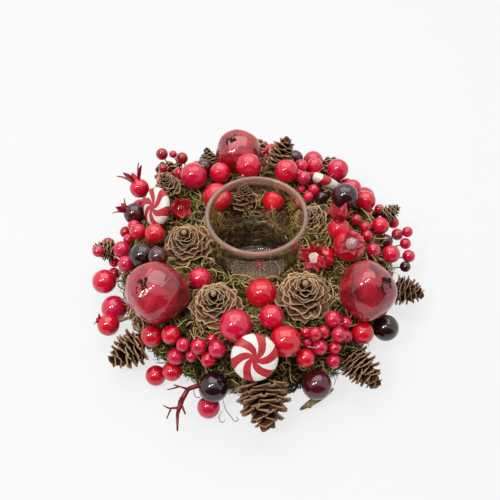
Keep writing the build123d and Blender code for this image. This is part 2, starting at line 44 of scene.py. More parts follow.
# ------------------------------------------------------------------------------ hoop rods
# Three rods of raw rattan, bent round and laid together as the wreath's hoop. They lie inside
# the moss and keep their CAD shape.
def linear(red, green, blue):
    """A paint colour, from its usual values of 0 to 255."""
    channels = []
    for value in (red / 255, green / 255, blue / 255):
        channels.append(value / 12.92 if value <= 0.04045 else ((value + 0.055) / 1.055) ** 2.4)
    return (*channels, 1.0)


def add_node(tree, kind, sockets=None, **settings):
    """A shader node; each socket gets a value or another node's output."""
    made = tree.nodes.new("ShaderNode" + kind)
    for key, value in settings.items():
        setattr(made, key, value)
    for key, value in (sockets or {}).items():
        if isinstance(value, bpy.types.NodeSocket):
            tree.links.new(value, made.inputs[key])
        else:
            made.inputs[key].default_value = value
    return made


def start_finish(name, **values):
    """A new material; returns it, its tree and its shader with these socket values."""
    material = bpy.data.materials.new(name)
    material.use_nodes = True
    shader = material.node_tree.nodes["Principled BSDF"]
    for key, value in values.items():
        shader.inputs[key.replace("_", " ")].default_value = value
    return material, material.node_tree, shader


def place_in(tree):
    """Object coordinates in millimetres."""
    where = add_node(tree, "TexCoord").outputs["Object"]
    return add_node(tree, "Mapping", {"Vector": where, "Scale": (1000, 1000, 1000)}).outputs["Vector"]


def grain(tree, where, scale, detail=3.0, rough=0.55, warp=0.0):
    """Noise at this scale, from 0 to 1."""
    sockets = {"Vector": where, "Scale": scale, "Detail": detail, "Roughness": rough, "Distortion": warp}
    return add_node(tree, "TexNoise", sockets).outputs["Fac"]


def ramp(tree, factor, *stops):
    """Colours along a scale from 0 to 1: (place, (red, green, blue)) for each."""
    made = add_node(tree, "ValToRGB", {"Fac": factor})
    scale = made.color_ramp
    while len(scale.elements) < len(stops):
        scale.elements.new(0.5)
    for element, (place, colour) in zip(scale.elements, stops):
        element.position = place
        element.color = linear(*colour)
    return made.outputs["Color"]


def blend_in(tree, factor, first, second, how="MIX"):
    """One colour over another by a factor."""
    made = add_node(tree, "Mix", data_type="RGBA", blend_type=how)
    for index, value in ((0, factor), (6, first), (7, second)):
        if isinstance(value, bpy.types.NodeSocket):
            tree.links.new(value, made.inputs[index])
        else:
            made.inputs[index].default_value = value
    return made.outputs[2]


def reckon(tree, how, first, second):
    """Work out one value from two, as a node."""
    return add_node(tree, "Math", {0: first, 1: second}, operation=how).outputs[0]


def plus(tree, first, second):
    return reckon(tree, "ADD", first, second)


def times(tree, first, second):
    return reckon(tree, "MULTIPLY", first, second)


def give_colour(tree, shader, colour):
    tree.links.new(colour, shader.inputs["Base Color"])


def give_bump(tree, shader, height, strength, depth):
    """A bump of this depth, in metres."""
    sockets = {"Height": height, "Strength": strength, "Distance": depth}
    tree.links.new(add_node(tree, "Bump", sockets).outputs["Normal"], shader.inputs["Normal"])


def repaint(material, *nodes):
    """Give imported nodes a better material."""
    for name in nodes:
        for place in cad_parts[name].material_slots:
            place.material = material


rattan_browns = ((0.3, (88, 62, 38)), (0.55, (136, 101, 62)), (0.75, (168, 132, 88)))
rattan, tree, shader = start_finish("rattan", Roughness=0.6)
where = place_in(tree)
give_colour(tree, shader, ramp(tree, grain(tree, where, 0.35, detail=6), *rattan_browns))
give_bump(tree, shader, grain(tree, where, 1.2, detail=5), 0.6, 0.5 * mm)
repaint(rattan, "hoop_rod_inner", "hoop_rod_outer", "hoop_rod_top")

# ------------------------------------------------------------------------------ ties and wires
# Bands of lacquered wire hold the rods together, and each berry stands on its own thin wire,
# covered in brown paper tape. Cones, fruit and candies stand on wooden picks.
def grained_finish(name, scale, colours, bump, depth, detail=3.0, rough=0.55, warp=0.0, **sockets):
    """A finish of one noise: its colours from low to high, and a bump of this depth in mm."""
    material, tree, shader = start_finish(name, **sockets)
    pattern = grain(tree, place_in(tree), scale, detail, rough, warp)
    give_colour(tree, shader, ramp(tree, pattern, *colours))
    give_bump(tree, shader, pattern, bump, depth * mm)
    return material


dull_bronze = ((0.35, (38, 36, 30)), (0.7, (72, 66, 52)))
brown_paper = ((0.3, (52, 34, 24)), (0.55, (92, 64, 42)), (0.8, (128, 96, 62)))
raw_wood = ((0.3, (96, 70, 44)), (0.6, (150, 116, 76)), (0.8, (178, 146, 102)))
lacquered_wire = grained_finish("lacquered_wire", 0.8, dull_bronze, 0.3, 0.1, Roughness=0.38, Metallic=0.6)
paper_tape = grained_finish("paper_tape", 1.6, brown_paper, 0.5, 0.15, detail=5, Roughness=0.72)
pick_wood = grained_finish("pick_wood", 0.9, raw_wood, 0.4, 0.2, detail=6, warp=0.6, Roughness=0.65)
repaint(lacquered_wire, "hoop_ties")
repaint(paper_tape, "berry_wires")
repaint(pick_wood, "wooden_picks")


# ------------------------------------------------------------------------------ moss
# Dry curly moss is laid round the hoop and bound on: a lumpy bed, painted dark as painted shade
# deep in the moss, covered in thin curled strands from straw yellow to olive brown, with a few
# tufts that are still green. Deeper strands and strands low by the cup are painted darker as shade.
ring_radius = 68 * mm
moss_radius = 30 * mm
moss_height = 12 * mm
bed_share = 0.92
lump_height = 3.2 * mm
crumb_height = 0.9 * mm
cup_shoulder = 26.5 * mm
cup_widening = 8.5 / 74
cup_room = 2.0 * mm
collar_height = 37 * mm
least_height = 0.2 * mm
clumps = 6
clump_turn = 60
first_bearing = 12
strands_in_clump = 2800
straws_in_clump = 70
tuft_reach = 10 * mm
bare_reach = 12 * mm
well_top = 34 * mm
well_depth = 22 * mm
random_moss = np.random.default_rng(11)


class Shape:
    """A modelled shape, ready to be copied: its points, its faces and values kept at its points."""

    def __init__(self, points, corners, sizes, kept=None):
        self.points = np.asarray(points, dtype=float)
        self.corners = np.asarray(corners, dtype=int)
        self.sizes = np.asarray(sizes, dtype=int)
        self.kept = kept or {}


def lift_off(piece, **kept):
    """Take a modelled object's mesh as a Shape and remove the object."""
    mesh = piece.data
    points = np.array([vertex.co[:] for vertex in mesh.vertices])
    corners = [index for face in mesh.polygons for index in face.vertices]
    sizes = [len(face.vertices) for face in mesh.polygons]
    bpy.data.objects.remove(piece)
    return Shape(points, corners, sizes, kept)


def gather(name, copies, material):
    """One object from many copies: (shape, its moved points, {value name: value or array})."""
    points, corners, sizes, start = [], [], [], 0
    kept = {}
    for shape, moved, values in copies:
        points.append(moved)
        corners.append(shape.corners + start)
        sizes.append(shape.sizes)
        start += len(moved)
        for key, value in {**shape.kept, **values}.items():
            kept.setdefault(key, []).append(np.broadcast_to(np.asarray(value, dtype=float), len(moved)))
    points = np.concatenate(points)
    corners = np.concatenate(corners)
    sizes = np.concatenate(sizes)
    mesh = bpy.data.meshes.new(name)
    mesh.vertices.add(len(points))
    mesh.vertices.foreach_set("co", points.ravel())
    mesh.loops.add(len(corners))
    mesh.loops.foreach_set("vertex_index", corners)
    mesh.polygons.add(len(sizes))
    mesh.polygons.foreach_set("loop_start", np.concatenate(([0], np.cumsum(sizes)[:-1])))
    mesh.polygons.foreach_set("use_smooth", np.ones(len(sizes), dtype=bool))
    for key, values in kept.items():
        mesh.attributes.new(key, "FLOAT", "POINT").data.foreach_set("value", np.concatenate(values))
    mesh.update(calc_edges=True)
    mesh.validate()
    mesh.materials.append(material)
    piece = bpy.data.objects.new(name, mesh)
    bpy.context.collection.objects.link(piece)
    return piece


def kept_value(tree, name):
    return add_node(tree, "Attribute", attribute_name=name, attribute_type="GEOMETRY").outputs["Fac"]


def only_this(piece):
    """Select this piece and nothing else."""
    bpy.ops.object.select_all(action="DESELECT")
    piece.select_set(True)
    bpy.context.view_layer.objects.active = piece


def put_in_place(piece):
    """Move an object's place into its mesh."""
    only_this(piece)
    bpy.ops.object.transform_apply(location=True, rotation=True, scale=True)


def reach_of_moss(section):
    """How far the moss reaches from its middle: a round section that closes in on the cup."""
    reach = moss_radius * bed_share
    inwards = -cos(section)
    if inwards > 0.2:
        to_cup = (ring_radius - cup_shoulder - cup_room - cup_widening * moss_height) / inwards
        to_top = (collar_height - moss_height) / max(sin(section), 0.05)
        reach = max(reach, min(to_cup * (1 - 0.05 * max(sin(section), 0.0)), to_top))
    return reach


def moss_surface(bearing, section):
    """Point on the moss and the directions round the ring, round the section and outwards."""
    level = Vector((cos(bearing), sin(bearing), 0))
    outward = level * cos(section) + Vector((0, 0, 1)) * sin(section)
    round_ring = Vector((-sin(bearing), cos(bearing), 0))
    across = level * -sin(section) + Vector((0, 0, 1)) * cos(section)
    middle = level * ring_radius + Vector((0, 0, moss_height))
    reach = reach_of_moss(section)
    lump = noise.noise((middle + outward * moss_radius) * 48) * lump_height
    return middle + outward * (reach + lump), round_ring, across, outward


def clear_of_cup(points):
    """Keep points off the table and out of the cup's way."""
    level = np.hypot(points[:, 0], points[:, 1])
    nearest = cup_shoulder + cup_room * 0.5 + cup_widening * np.maximum(points[:, 2], 0)
    points[:, :2] *= np.maximum(1, nearest / np.maximum(level, mm))[:, None]
    points[:, 2] = np.maximum(points[:, 2], least_height)
    return points


bpy.ops.object.select_all(action="DESELECT")
bpy.ops.mesh.primitive_torus_add(
    major_segments=200,
    minor_segments=56,
    major_radius=ring_radius,
    minor_radius=moss_radius * bed_share,
    location=(0, 0, moss_height),
)
moss_bed = bpy.context.object
moss_bed.name = "moss_bed"
put_in_place(moss_bed)
for vertex in moss_bed.data.vertices:
    place = vertex.co
    bearing = atan2(place.y, place.x)
    section = atan2(place.z - moss_height, hypot(place.x, place.y) - ring_radius)
    shaped = moss_surface(bearing, section)[0]
    middle = Vector((cos(bearing), sin(bearing), 0)) * ring_radius + Vector((0, 0, moss_height))
    shaped += (shaped - middle).normalized() * (noise.noise(shaped * 260) * crumb_height)
    vertex.co = clear_of_cup(np.array([shaped[:]]))[0]
bpy.ops.object.shade_smooth()

# The bed's dark browns are painted shade, standing in for the shade deep inside the moss.
bed_shade_browns = ((0.35, (18, 12, 8)), (0.52, (42, 30, 19)), (0.68, (76, 58, 34)), (0.8, (104, 84, 48)))
moss_dark = grained_finish(
    "moss_dark", 0.35, bed_shade_browns, 1.0, 2.5, detail=8, rough=0.7, warp=1.5,
    Roughness=0.95, Specular_IOR_Level=0.15,
)
moss_bed.data.materials.append(moss_dark)


def strand_shape(length, thickness, steps, curl, wander, twist):
    """One curled strand: a thin three-sided tube along a wandering line, from the origin."""
    heading = Vector((1, 0, 0))
    side = Vector((0, 0, 1))
    step = length / (steps - 1)
    line = [Vector((0, 0, 0))]
    for _ in range(steps - 1):
        heading = (Matrix.Rotation(curl + random_moss.normal(0, wander), 3, side) @ heading).normalized()
        side = (Matrix.Rotation(random_moss.normal(0, twist), 3, heading) @ side).normalized()
        line.append(line[-1] + heading * step)
    points, corners = [], []
    for place, here in enumerate(line):
        ahead = (line[min(place + 1, len(line) - 1)] - line[max(place - 1, 0)]).normalized()
        aside = ahead.cross(Vector((0.3, 0.2, 0.93))).normalized()
        above = ahead.cross(aside)
        width = thickness * (0.35 + 0.75 * sin(pi * (place + 0.6) / (len(line) + 0.2)))
        for corner in range(3):
            angle = 2 * pi * corner / 3
            points.append((here + (aside * cos(angle) + above * sin(angle)) * width)[:])
    for place in range(len(line) - 1):
        for corner in range(3):
            following = (corner + 1) % 3
            low, high = 3 * place, 3 * place + 3
            corners += [low + corner, low + following, high + following, high + corner]
    sizes = [4] * (3 * (len(line) - 1)) + [3, 3]
    end = 3 * (len(line) - 1)
    corners += [2, 1, 0, end, end + 1, end + 2]
    return Shape(points, corners, sizes)


def swing(tree, noise_made, size):
    """Noise turned to run about 0, this far in all."""
    return times(tree, reckon(tree, "SUBTRACT", noise_made, 0.5), size)


dark_straws = ((0.05, (24, 16, 10)), (0.25, (72, 50, 30)), (0.42, (122, 93, 56)))
pale_straws = ((0.6, (166, 134, 80)), (0.78, (206, 178, 112)), (1.0, (236, 214, 158)))
moss_greens = ((0.08, (22, 28, 12)), (0.35, (64, 82, 28)), (0.6, (108, 134, 46)), (0.95, (176, 190, 84)))
moss_strand, tree, shader = start_finish("moss_strand", Roughness=0.8, Specular_IOR_Level=0.25)
where = place_in(tree)
tone = plus(tree, kept_value(tree, "tone"), swing(tree, grain(tree, where, 0.6), 0.5))
straw = ramp(tree, tone, *dark_straws, *pale_straws)
green = ramp(tree, tone, *moss_greens)
give_colour(tree, shader, blend_in(tree, kept_value(tree, "green"), straw, green))
give_bump(tree, shader, grain(tree, where, 3.0), 0.4, 0.1 * mm)


def model_strands(count, steps, curls, lengths, widths, wander, twist):
    """Different strands, each drawn at random between these limits."""
    made = []
    for _ in range(count):
        curl = random_moss.uniform(*curls) * random_moss.choice((-1, 1))
        length = random_moss.uniform(*lengths) * mm
        made.append(strand_shape(length, random_moss.uniform(*widths) * mm, steps, curl, wander, twist))
    return made


def place_on_moss(clump, low, high):
    """A random place in a clump, between two angles of its section, and a heading there."""
    bearing = radians(first_bearing + clump_turn * (clump - 1) + random_moss.uniform(0, clump_turn))
    section = radians(random_moss.uniform(low, high))
    return section, random_moss.uniform(0, 2 * pi), *moss_surface(bearing, section)


strand_set = model_strands(36, 11, (0.15, 0.75), (13, 21), (0.26, 0.5), 0.22, 0.35)
straw_set = model_strands(14, 16, (0.05, 0.32), (16, 34), (0.24, 0.4), 0.12, 0.25)
green_tufts = ((-66, -60, 34), (-60, -66, 28), (-36, -50, 40), (12, -66, 38), (44, -66, 34), (-48, 8, 38))
green_tufts = [Vector(place) * mm for place in (*green_tufts, (30, 52, 40))]
cone_points = np.array([vertex.co[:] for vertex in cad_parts["cone_back_inner"].data.vertices])
shown_cone = cone_points.mean(axis=0) + np.array((0, -3, 4)) * mm
for clump in range(1, clumps + 1):
    copies = []
    for _ in range(strands_in_clump):
        section, heading, on_moss, round_ring, across, outward = place_on_moss(clump, -24, 200)
        lift = random_moss.normal(0.15, 0.35)
        along = (round_ring * cos(heading) + across * sin(heading) + outward * lift).normalized()
        over = (outward + along.orthogonal() * random_moss.normal(0, 0.5)).cross(along).normalized()
        turned = np.array((along, over, along.cross(over))).T
        shape = strand_set[random_moss.integers(len(strand_set))]
        size = random_moss.uniform(0.55, 1.1)
        depth = random_moss.triangular(-3.0, 0.5, 3.4) * mm
        middle = shape.points.mean(axis=0)
        moved = (shape.points - middle) * size @ turned.T + np.array(on_moss + outward * depth)
        moved = clear_of_cup(moved)
        near_tuft = min((on_moss - tuft).length for tuft in green_tufts)
        patch = noise.noise(on_moss * 36 + Vector((3, 7, 1)))
        green_share = 0.22 + 1.1 * patch + (0.9 if near_tuft < tuft_reach else 0)
        green_share = min(1.0, max(0.0, green_share)) * random_moss.uniform(0.3, 1)
        bright = 0.42 if random_moss.uniform() < 0.16 else 0.0
        # Strands sunk deeper into the moss get a darker tone: painted shade.
        tone_and_shade = 0.30 + bright + 0.075 * depth / mm + random_moss.normal(0, 0.12)
        tone_and_shade += 0.3 * noise.noise(on_moss * 90)
        if np.linalg.norm(moved - shown_cone, axis=1).min() < bare_reach:
            continue
        # Strands low on the inner side, in the well round the cup, are darkened: painted shade where little
        # light reaches.
        well_shade = max(0.0, -cos(section)) * min(1.0, max(0.0, (well_top - on_moss.z) / well_depth))
        copies.append((shape, moved, {"tone": tone_and_shade - 0.38 * well_shade, "green": green_share}))
    for _ in range(straws_in_clump):
        section, heading, on_moss, round_ring, across, outward = place_on_moss(clump, 5, 150)
        lift = random_moss.uniform(0.0, 0.5)
        along = (round_ring * cos(heading) + across * sin(heading) + outward * lift).normalized()
        over = outward.cross(along).normalized()
        turned = np.array((along, over, along.cross(over))).T
        shape = straw_set[random_moss.integers(len(straw_set))]
        middle = shape.points.mean(axis=0)
        off_moss = random_moss.uniform(2.0, 4.5)
        moved = (shape.points - middle) @ turned.T + np.array(on_moss + outward * off_moss * mm)
        copies.append((shape, clear_of_cup(moved), {"tone": random_moss.uniform(0.7, 1.0), "green": 0.0}))
    strands = gather(f"moss_strands_{clump}", copies, moss_strand)
    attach(strands, "ring")
    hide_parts(f"moss_clump_{clump}")
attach(moss_bed, "ring")

# Bark crumbs lie on the table under the cup: thick inside its foot ring and thin below it. Their browns are
# darkened as painted shade for the dim well under the cup.
mat_outline = [(reach, 0.9) for reach in (0, 3, 6, 9, 12, 15, 17.5, 19.6)]
mat_outline += [(20.3, 0.5), (20.6, 0.04), (26.4, 0.04), (26.8, 0.7), (28.5, 1.0), (30.5, 1.0)]
mat_outline += [(31.5, 0.01), (0, 0.01)]


def spin_round(name, outline, steps):
    """A closed solid of revolution from its outline in millimetres, from axis to axis."""
    bpy.ops.object.select_all(action="DESELECT")
    profile = bpy.data.meshes.new(name)
    edges = [(number, number + 1) for number in range(len(outline) - 1)]
    profile.from_pydata([(x * mm, 0, z * mm) for x, z in outline], edges, [])
    spun = bpy.data.objects.new(name, profile)
    bpy.context.collection.objects.link(spun)
    only_this(spun)
    bpy.ops.object.mode_set(mode="EDIT")
    bpy.ops.mesh.select_all(action="SELECT")
    bpy.ops.mesh.spin(steps=steps, angle=2 * pi, center=(0, 0, 0), axis=(0, 0, 1))
    bpy.ops.mesh.select_all(action="SELECT")
    bpy.ops.mesh.remove_doubles(threshold=0.00001)
    bpy.ops.mesh.normals_make_consistent(inside=False)
    bpy.ops.object.mode_set(mode="OBJECT")
    bpy.ops.object.shade_smooth()
    return spun


bark_mat = spin_round("bark_mat", mat_outline, 96)
for vertex in bark_mat.data.vertices:
    if vertex.co.z > 0.6 * mm:
        vertex.co.z += 0.4 * mm * noise.noise(vertex.co * 400)
# These dark browns are partly the crumbs' own colour and partly painted shade for the well under the cup.
bark_and_shade_browns = ((0.35, (24, 14, 11)), (0.5, (54, 34, 26)), (0.65, (86, 60, 46)))
bark_crumbs_and_shade = grained_finish(
    "bark_crumbs_and_shade", 0.22, bark_and_shade_browns, 0.8, 0.8, detail=7, rough=0.7, warp=1.2,
    Roughness=0.9, Specular_IOR_Level=0.2,
)
bark_mat.data.materials.append(bark_crumbs_and_shade)
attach(bark_mat, "ring")


# ------------------------------------------------------------------------------ pine cones
# Real pine cones, dried until they opened: thin woody scales in a close spiral round a core,
# brown inside, with pale worn rims, and painted near black towards their roots as painted shade
# between the scales. Each cone is pushed onto its pick.
cone_axes = {
    "cone_left_upright": [(-115, 83)],
    "cone_front_left_upright": [(-90, 86)],
    "cone_front_right_upright": [(-90, 86)],
    "cone_right_inner": [(-158, 58)],
    "cone_back_inner": [(90, 72)],
    "cone_back_right": [(50, 60)],
    "cone_back_left": [(180, 78)],
    "cone_right_low": [(-18, 6)],
    "cone_front_right_low": [(-51, -6)],
    "cone_front_low": [(-84, -7)],
    "cone_left_low": [(-141, 0)],
    "cones_small": [(174, 11), (106, 39), (21, 30)],
    "cones_back_low": [(58, 2), (88, 2), (128, 2)],
}
cone_warmth = {
    "cone_front_low": 0.9,
    "cone_front_right_low": 0.85,
    "cone_left_low": 0.6,
    "cone_right_low": 0.7,
    "cone_back_right": 0.7,
    "cone_back_left": 0.0,
    "cone_right_inner": 0.1,
}
open_like_a_rose = {
    "cone_left_upright": 0.85,
    "cone_front_left_upright": 0.8,
    "cone_front_right_upright": 1.0,
    "cone_right_inner": 0.9,
    "cone_back_inner": 0.75,
    "cone_back_left": 1.0,
}
golden_turn = radians(137.508)
scale_rows = 6
scale_columns = 11
random_cones = np.random.default_rng(5)


def direction(bearing, elevation):
    level = cos(radians(elevation))
    return Vector((level * cos(radians(bearing)), level * sin(radians(bearing)), sin(radians(elevation))))


def solids_of(node_name):
    """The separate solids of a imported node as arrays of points, in a steady order."""
    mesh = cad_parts[node_name].data
    points = np.empty(3 * len(mesh.vertices))
    mesh.vertices.foreach_get("co", points)
    points = points.reshape(-1, 3)
    _, same = np.unique(np.round(points * 1e5).astype(int), axis=0, return_inverse=True)
    same = same.ravel()
    mesh.calc_loop_triangles()
    triangles = np.empty(3 * len(mesh.loop_triangles), dtype=np.int32)
    mesh.loop_triangles.foreach_get("vertices", triangles)
    triangles = same[triangles].reshape(-1, 3)
    label = np.arange(same.max() + 1)
    while True:
        lowest = label[triangles].min(axis=1)
        before = label.copy()
        for corner in range(3):
            np.minimum.at(label, triangles[:, corner], lowest)
        label = label[label]
        if np.array_equal(label, before):
            break
    groups = [points[label[same] == number] for number in np.unique(label)]
    return sorted(groups, key=lambda group: tuple(np.round(group.mean(axis=0) * 1e4)))


def give_wall(sheet, thickness):
    """Give a sheet this thickness, half of it to each side."""
    wall = sheet.modifiers.new("wall", "SOLIDIFY")
    wall.thickness = thickness
    wall.offset = 0
    only_this(sheet)
    bpy.ops.object.modifier_apply(modifier="wall")


def model_scale(pointed):
    """A cone scale: a thin spoon that widens from its root to a rounded or a pointed rim."""
    bpy.ops.object.select_all(action="DESELECT")
    bpy.ops.mesh.primitive_grid_add(x_subdivisions=scale_columns - 1, y_subdivisions=scale_rows - 1, size=1)
    scale = bpy.context.object
    across_kept, along_kept, rim_kept = [], [], []
    for vertex in scale.data.vertices:
        across, along = 2 * vertex.co.x, vertex.co.y + 0.5
        across = abs(across) ** 0.8 * (1 if across > 0 else -1)
        along = 1 - (1 - along) ** 1.5
        widening = sin(pi * 0.5 * min(along * 1.2, 1.0)) ** 1.5
        if pointed:
            narrowing = 1 - 0.86 * max(0.0, (along - 0.5) / 0.5) ** 1.4
            half_width = (0.14 + 0.46 * widening) * narrowing
            reach = along
            cup = 0.10 * abs(across) ** 1.6 * along - 0.10 * sin(pi * along) + 0.16 * along**4
        else:
            half_width = 0.12 + 0.46 * widening
            reach = along * (1 - 0.34 * abs(across) ** 2.8 * along)
            cup = 0.16 * along**5 - 0.20 * across**2 * along + 0.12 * sin(pi * along)
        vertex.co = (half_width * across, reach, cup)
        across_kept.append(across)
        along_kept.append(along)
        rim_kept.append(max(abs(across) ** 4 * min(1.0, along * 1.5), max(0.0, (along - 0.6) / 0.4) ** 2))
    give_wall(scale, 0.05 if pointed else 0.045)
    kept = {"across": across_kept, "along": along_kept, "rim": rim_kept}
    sides = len(scale.data.vertices) // len(across_kept)
    return lift_off(scale, **{key: np.array(values * sides) for key, values in kept.items()})


def model_bud():
    """The small closed bud at a cone's tip, of radius 1."""
    bpy.ops.object.select_all(action="DESELECT")
    bpy.ops.mesh.primitive_uv_sphere_add(segments=9, ring_count=6, radius=1)
    bud = bpy.context.object
    for vertex in bud.data.vertices:
        vertex.co *= 1 + 0.25 * noise.noise(vertex.co * 2.3)
    full = np.ones(len(bud.data.vertices))
    return lift_off(bud, across=full * 0, along=full, rim=full * 0.8)


bud_height = 0.96
bud_size = 0.105
cone_bud = model_bud()
rounded_scale = model_scale(False)
pointed_scale = model_scale(True)

tan_browns = ((0.34, (46, 26, 17)), (0.46, (90, 55, 35)), (0.57, (132, 88, 58)), (0.72, (164, 118, 82)))
red_browns = ((0.34, (54, 28, 18)), (0.46, (98, 57, 37)), (0.57, (136, 86, 58)), (0.72, (164, 112, 78)))
pale_rims = ((0.3, (188, 154, 108)), (0.5, (226, 200, 156)), (0.7, (244, 226, 190)))
red_rims = ((0.3, (140, 98, 70)), (0.5, (176, 134, 100)), (0.7, (208, 174, 138)))
scale_greys = ((0.0, (196, 190, 184)), (0.4, (236, 232, 228)), (0.8, (255, 255, 255)))


def fade(tree, value, low, high, start=0.0, end=1.0, **settings):
    """One level at the low value and the other at the high one, even in between."""
    sockets = {"Value": value, "From Min": low, "From Max": high, "To Min": start, "To Max": end}
    return add_node(tree, "MapRange", sockets, **settings).outputs["Result"]


cone_wood, tree, shader = start_finish("cone_wood", Roughness=0.72, Specular_IOR_Level=0.3)
where = place_in(tree)
rim, along, tone, warmth, across = (
    kept_value(tree, name) for name in ("rim", "along", "tone", "warmth", "across")
)
fine = grain(tree, where, 1.4, detail=6, rough=0.7)
coarse = grain(tree, where, 0.45, detail=3)
lengthwise = {"X": times(tree, across, 7.0), "Y": along, "Z": times(tree, tone, 40.0)}
striped = grain(tree, add_node(tree, "CombineXYZ", lengthwise).outputs["Vector"], 1.0, detail=4)
mixed = plus(tree, times(tree, striped, 0.6), times(tree, coarse, 0.4))
wood = blend_in(tree, warmth, ramp(tree, mixed, *tan_browns), ramp(tree, mixed, *red_browns))
# Near black towards each scale's root: painted shade in the gaps between the scales.
inner = blend_in(tree, fade(tree, along, 0.3, 0.8), linear(26, 15, 10), wood)
edge = fade(tree, plus(tree, rim, swing(tree, fine, 0.5)), 0.62, 0.92)
worn = blend_in(tree, warmth, ramp(tree, fine, *pale_rims), ramp(tree, fine, *red_rims))
rimmed = blend_in(tree, times(tree, edge, 0.95), inner, worn)
give_colour(tree, shader, blend_in(tree, 1.0, rimmed, ramp(tree, tone, *scale_greys), "MULTIPLY"))
give_bump(tree, shader, plus(tree, striped, fine), 0.8, 0.4 * mm)


def grow_cone(points, axis, rose, warmth):
    """Copies of the scale in a spiral, from the stalk end to the tip of one cone."""
    axis = np.array(axis)
    height = points @ axis
    low, high = height.min(), height.max()
    length = high - low
    tip_ring = points[height > high - 0.1 * length].mean(axis=0)
    foot_ring = points[height < low + 0.25 * length].mean(axis=0)
    middle = (tip_ring + foot_ring) / 2
    middle = middle - axis * (middle @ axis)
    off = points - middle
    radius = np.linalg.norm(off - np.outer(off @ axis, axis), axis=1).max()
    frame_x = np.array(Vector(axis).orthogonal().normalized())
    frame_y = np.cross(axis, frame_x)
    shape = rounded_scale if rose else pointed_scale
    count = int(30 + 10 * length / (2 * radius)) if rose else int(20 + 14 * length / (2 * radius))
    first_turn = random_cones.uniform(0, 2 * pi)
    radius *= 1.0 + 0.22 * rose
    grid = np.linspace(-1, 1, scale_columns)
    wave, notch = (0.085, 0.06) if rose else (0.008, 0.016)
    copies = []
    for number in range(count):
        share = (number + 0.5) / count
        turn = first_turn + golden_turn * number
        outward = frame_x * cos(turn) + frame_y * sin(turn)
        if rose:
            opening = radians((92 - 70 * share**1.4) * (0.6 + 0.4 * rose))
            tip_radius = radius * (1.0 - 0.93 * share**1.1)
            tip_height = 0.34 + 0.62 * share**0.9
            width = radius * (0.80 - 0.44 * share)
            least = 0.34 * radius
        else:
            opening = radians(58 - 40 * share**1.3)
            tip_radius = radius * (0.96 + 0.30 * share - 1.12 * share**2.0)
            tip_height = 0.20 + 0.80 * share
            width = radius * (1.30 - 0.66 * share**1.4)
            least = 0.0
        tip_radius *= 1 + random_cones.normal(0, 0.04)
        opening += random_cones.normal(0, 0.07)
        core = (0.10 - 0.08 * share) * radius
        reach = max((tip_radius - core) / max(sin(opening), 0.28), least)
        pointing = outward * sin(opening) + axis * cos(opening)
        back = axis * sin(opening) - outward * cos(opening)
        beside = np.cross(pointing, back)
        width *= random_cones.uniform(0.9, 1.12)
        local = shape.points.copy()
        ripple = wave * np.sin(shape.kept["across"] * random_cones.uniform(3, 7) + random_cones.uniform(0, 6))
        local[:, 2] += ripple * shape.kept["along"] ** 2
        notches = np.interp(shape.kept["across"], grid, random_cones.normal(0, notch, scale_columns))
        local[:, 1] += notches * shape.kept["along"] ** 3
        base = middle + axis * (low + tip_height * length - reach * cos(opening)) + outward * core
        moved = base + (
            np.outer(local[:, 0] * width, beside)
            + np.outer(local[:, 1] * reach, pointing)
            - np.outer(local[:, 2] * reach, back)
        )
        moved[:, 2] = np.maximum(moved[:, 2], least_height)
        copies.append((shape, moved, {"tone": random_cones.uniform(0, 1), "warmth": warmth}))
    if rose:
        tip = middle + axis * (low + bud_height * length)
        copies.append((cone_bud, tip + cone_bud.points * bud_size * radius, {"tone": 0.45, "warmth": warmth}))
    return copies


def solid_towards(solids, bearing):
    """Of a node's solids, the one that lies at this bearing from the middle of the ring."""
    level = direction(bearing, 0).xy
    return min(solids, key=lambda group: (Vector(group.mean(axis=0)).xy.normalized() - level).length)


for node_name, axes in cone_axes.items():
    solids = solids_of(node_name)
    rose = open_like_a_rose.get(node_name, 0)
    copies = []
    for bearing, elevation in axes:
        place = solid_towards(solids, bearing)
        copies += grow_cone(place, direction(bearing, elevation), rose, cone_warmth.get(node_name, 0.3))
    cone = gather(node_name.replace("cone", "pine_cone", 1), copies, cone_wood)
    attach(cone, "ring")
    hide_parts(node_name)


# ------------------------------------------------------------------------------ pomegranates
# Dried pomegranates, shrunk to flat facets with soft ridges between them, painted crimson and
# dipped in clear varnish. The dry calyx is left as a black crumbly patch.
pomegranate_axes = {"left": (-140, 63), "right": (-33, 57), "back": (-175, 70)}
facets = 17
facet_sharpness = 10
roundness = 0.42
crumbs_in_calyx = 26
calyx_radius = 3.9 * mm
crumb_sunk = 0.9
random_fruit = np.random.default_rng(23)

crimsons = ((0.36, (84, 6, 16)), (0.46, (136, 10, 26)), (0.56, (176, 18, 38)), (0.68, (196, 46, 60)))
fruit_skin, tree, shader = start_finish(
    "fruit_skin", Roughness=0.4, Coat_Weight=1.0, Coat_Roughness=0.04, Coat_IOR=1.6, Specular_IOR_Level=0.25
)
where = place_in(tree)
cloud = grain(tree, where, 0.07, detail=3, warp=0.8)
fleck = grain(tree, where, 0.5, detail=6, rough=0.65)
mottled = plus(tree, times(tree, cloud, 0.65), times(tree, fleck, 0.35))
give_colour(tree, shader, ramp(tree, mottled, *crimsons))
give_bump(tree, shader, plus(tree, fleck, times(tree, cloud, 2.0)), 0.35, 0.5 * mm)

soot = ((0.35, (12, 8, 8)), (0.6, (34, 24, 22)), (0.8, (70, 54, 48)))
charred = grained_finish(
    "charred", 1.8, soot, 1.0, 0.6, detail=6, rough=0.7, Roughness=0.85, Specular_IOR_Level=0.3
)


def facet_reach(outward, normals, depths):
    """How far the facetted skin reaches this way, as a share of the ball's radius."""
    pairs = zip(normals, depths)
    press = sum((max(outward.dot(normal), 0.0) / depth) ** facet_sharpness for normal, depth in pairs)
    return roundness + (1 - roundness) * press ** (-1 / facet_sharpness)


